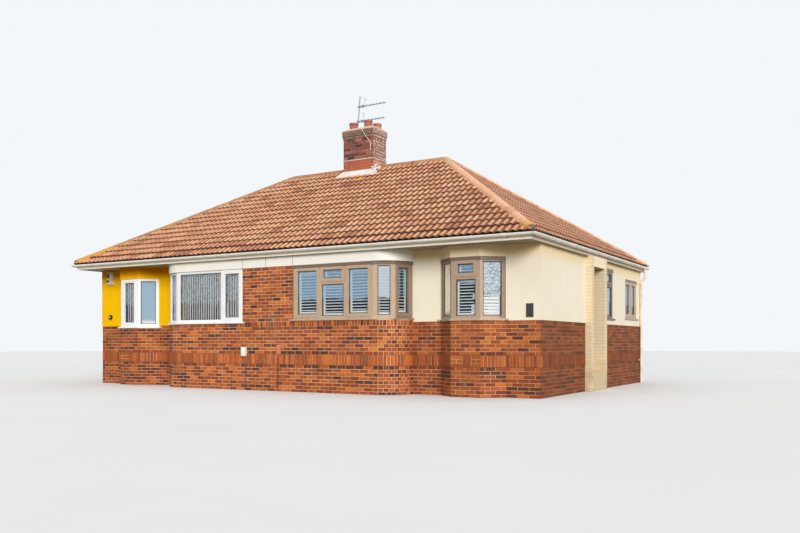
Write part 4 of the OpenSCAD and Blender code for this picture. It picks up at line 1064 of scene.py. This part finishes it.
# pale patches on the right-hand face: mortar smears, and painted light on the side facing the lamp
smear_and_light = fade(specks(0.08, 5.0), 0.36, 0.58) * (x > STACK[1][0] + 0.002) * 0.85
grit = specks(0.006, 2.0)
body = shades(carried("tone"), (0.0, 62, 38, 36), (0.25, 112, 64, 56), (0.6, 150, 86, 74),
              (1.0, 190, 120, 102))
body = coats(body, (fade(patches, 0.35, 0.70) * 0.5, 88, 56, 54), (base, 206, 106, 62),
             (corbels, 146, 134, 116), (smear_and_light, 224, 196, 180), (grit * 0.2, 84, 54, 46))
stack_brick = complete(body, 0.8 + grit * 0.15, grit + smear_and_light, 0.0025)
begin("stack_mortar")
patches = specks(0.08, 4.0)
bed = mix(fade(patches, 0.35, 0.65), (160, 130, 116), (108, 82, 74))
bed = coats(bed, ((along("Z") > STACK_TOP - 0.004) * 0.9, 226, 206, 190))
dress(complete(bed, 0.85 + patches * 0.1, specks(0.004, 2.0) + patches, 0.002), "chimney_stack")
lime_white = plain("white_mortar", (238, 234, 232), (214, 206, 202), 0.12, 0.85, 0.005, 0.003)
dress(lime_white, "chimney_flashing")


def round_stack(out):
    """The plan ends of the stack's four faces, moved out."""
    corners = mitred([STACK[-1], *STACK, STACK[0]], out)[1:-1]
    return zip(corners, corners[1:] + corners[:1])


bm = toned()
for out, count, down, odd in STEPS:
    rows = courses(STACK_TOP - down * COURSE, count)
    for i, (a, b) in enumerate(round_stack(out + 0.005)):
        parity = (i + odd) % 2
        wall(bm, rows, a, b, (parity, parity), deep=0.08, chamfer=0.005)
settle(bm, "stack_bricks", stack_brick, "chimney_brick")

# the strip of mortar round the stack, and the dabs smeared up its corner from the apron: the place
# of each, and how far it goes across and up
DABS = ((0.500, -0.380, 5.600, 0.11, 0.10), (0.455, -0.385, 5.672, 0.08, 0.05),
        (0.485, -0.300, 5.700, 0.07, 0.13), (0.490, -0.215, 5.765, 0.05, 0.06),
        (0.560, -0.310, 5.640, 0.12, 0.07), (0.490, -0.080, 5.735, 0.06, 0.05))

bm = bmesh.new()
for a, b in round_stack(0.018):
    side = bmesh.new()
    box(side, (0, 0, STRIP[0]), ((b - a).length, 0.03, STRIP[1]))
    ease(side, 0.006, 2)
    add(bm, side, panel(a, b))
for *at, across, tall in DABS:
    shape = turned(at, random.uniform(-40, 40), "Z", across, 0.06, tall)
    made = bmesh.ops.create_icosphere(bm, subdivisions=3, radius=0.5, matrix=shape)
    for vert in made["verts"]:
        out = vert.co - Vector(at)
        vert.co = Vector(at) + out * (1 + 0.25 * noise.noise(vert.co * 28))
settle(bm, "mortar_strip_and_dabs", lime_white, "mortar", smooth=40)


def rod(bm, a, b, radius, sides=8):
    """A round bar from a to b."""
    a, b = Vector(a), Vector(b)
    turn = (b - a).to_track_quat("Z", "Y").to_matrix().to_4x4()
    bmesh.ops.create_cone(bm, cap_ends=True, segments=sides, radius1=radius, radius2=radius,
                          depth=(b - a).length, matrix=Matrix.Translation((a + b) / 2) @ turn)


# a white cable is clipped to the front of the stack
CABLE_R = 0.008
CABLE = ((0.078, -0.352, 6.752), (0.104, -0.380, 6.728), (0.128, -0.405, 6.694),
         (0.262, -0.405, 6.492), (0.282, -0.380, 6.462), (0.387, -0.378, 6.314),
         (0.387, -0.378, 6.102))
CLIPS = ((0.335, 6.387), (0.387, 6.300), (0.387, 6.225), (0.387, 6.150))
cable_white = plain("cable_sheath", (236, 228, 216), (214, 204, 190), 0.05, 0.5)
bm = bmesh.new()
for a, b in zip(CABLE, CABLE[1:]):
    rod(bm, a, b, CABLE_R)
    bmesh.ops.create_icosphere(bm, subdivisions=2, radius=CABLE_R, matrix=Matrix.Translation(b))
for x, z in CLIPS:
    clip = bmesh.new()
    box(clip, (x - 0.016, -0.392, z - 0.010), (x + 0.016, -0.362, z + 0.010))
    ease(clip, 0.004, 2)
    add(bm, clip)
settle(bm, "stack_cable", cable_white, "box_plastic", smooth=40)

begin("pot_clay")
soot = fade(specks(0.06, 5.0), 0.45, 0.75)
grit = specks(0.006, 2.0)
fired = mix(along("X") > 0.35, (174, 104, 86), (192, 124, 96))
fired = coats(fired, (soot * 0.6, 104, 64, 56))
dress(complete(fired, 0.75 + grit * 0.15, grit + soot, 0.0015), "chimney_pots")

# AERIAL
# A thin weathered alloy mast behind the stack with two booms, one above the other. Each boom
# carries a row of short dark upright rods.
ROD_Y = 0.320
ROD_PITCH = 0.112
BOOMS = ((-0.300, 7.540), (-0.340, 7.140))  # where the rods begin and how high the boom lies
alloy = plain("aerial_alloy", (176, 180, 186), (140, 144, 150), 0.05, 0.45, Metallic=0.3)
dress(alloy, "aerial")
bm = bmesh.new()
for start, z in BOOMS:
    for i in range(7):
        x = start + ROD_PITCH * i
        rod(bm, (x, ROD_Y, z - 0.030), (x, ROD_Y, z + 0.034), 0.005)
settle(bm, "aerial_rods", black_metal, "black_metal", smooth=40)

# FITTINGS
# The alarm's cover with its slots, the round lamp with a pale lens, a bare slate plaque, and two
# narrow plastic cabinets screwed to the brickwork, each with a pipe clipped to the wall below it.
SLOTS = ((-5.992, -5.885, 2.690, 2.745, -3.537), (-5.965, -5.880, 2.800, 2.925, -3.536))
PIPE_Y, PIPE_R, PIPE_TOP = -4.095, 0.011, 0.768
WALL_FACE = -4.075
# each cabinet's lowest corner and the far side and top of it, and the middle of its pipe
CABINETS = (((-0.699, -4.165, 0.770), (-0.599, WALL_FACE, 0.980), -0.630),
            ((0.305, -4.140, 0.812), (0.399, WALL_FACE, 1.026), 0.322))
cover = plain("alarm_cover", (240, 226, 180), (214, 196, 150), 0.1, 0.4)
dress(cover, "alarm_box")
bm = bmesh.new()
for x0, x1, z0, z1, y in SLOTS:
    box(bm, (x0, y, z0), (x1, -3.520, z1))
ease(bm, 0.002)
settle(bm, "alarm_slots", rubber, "black_metal")
begin("box_coat")
grain = specks(0.01, 3.0)
pipes = along("Z") < PIPE_TOP
coat = mix(along("X") > 0, (244, 244, 243), (206, 126, 100))
box_coat = complete(coats(coat, (pipes * 0.95, 74, 46, 34)), 0.5 + grain * 0.1, grain, 0.0004)
bm = bmesh.new()
for (x0, y0, z0), (x1, y1, z1), pipe in CABINETS:
    cabinet = bmesh.new()
    box(cabinet, (x0, y0 + 0.012, z0), (x1, y1, z1))
    box(cabinet, (x0 - 0.002, y0, z0 + 0.006), (x1 + 0.002, y0 + 0.010, z1 - 0.004))
    ease(cabinet, 0.003, 2)
    rod(cabinet, (pipe, PIPE_Y, 0.0), (pipe, PIPE_Y, z0 + 0.01), PIPE_R, 12)
    for z in (0.18, 0.48):
        box(cabinet, (pipe - 0.018, PIPE_Y - 0.005, z), (pipe + 0.018, WALL_FACE, z + 0.016))
    add(bm, cabinet)
settle(bm, "meter_cabinets", box_coat, "box_plastic", "wall_boxes", smooth=35)
dress(black_metal, "wall_lamp")
bm = bmesh.new()
lens = turned((-5.890, -3.512, 1.757), 0, "X", 0.026, 0.008, 0.032)
bmesh.ops.create_uvsphere(bm, u_segments=20, v_segments=10, radius=1, matrix=lens)
settle(bm, "lamp_lens", cover, "box_plastic", smooth=60)
dress(plain("slate", (38, 38, 42), (58, 58, 62), 0.04, 0.55, 0.003, 0.0008), "plaque")
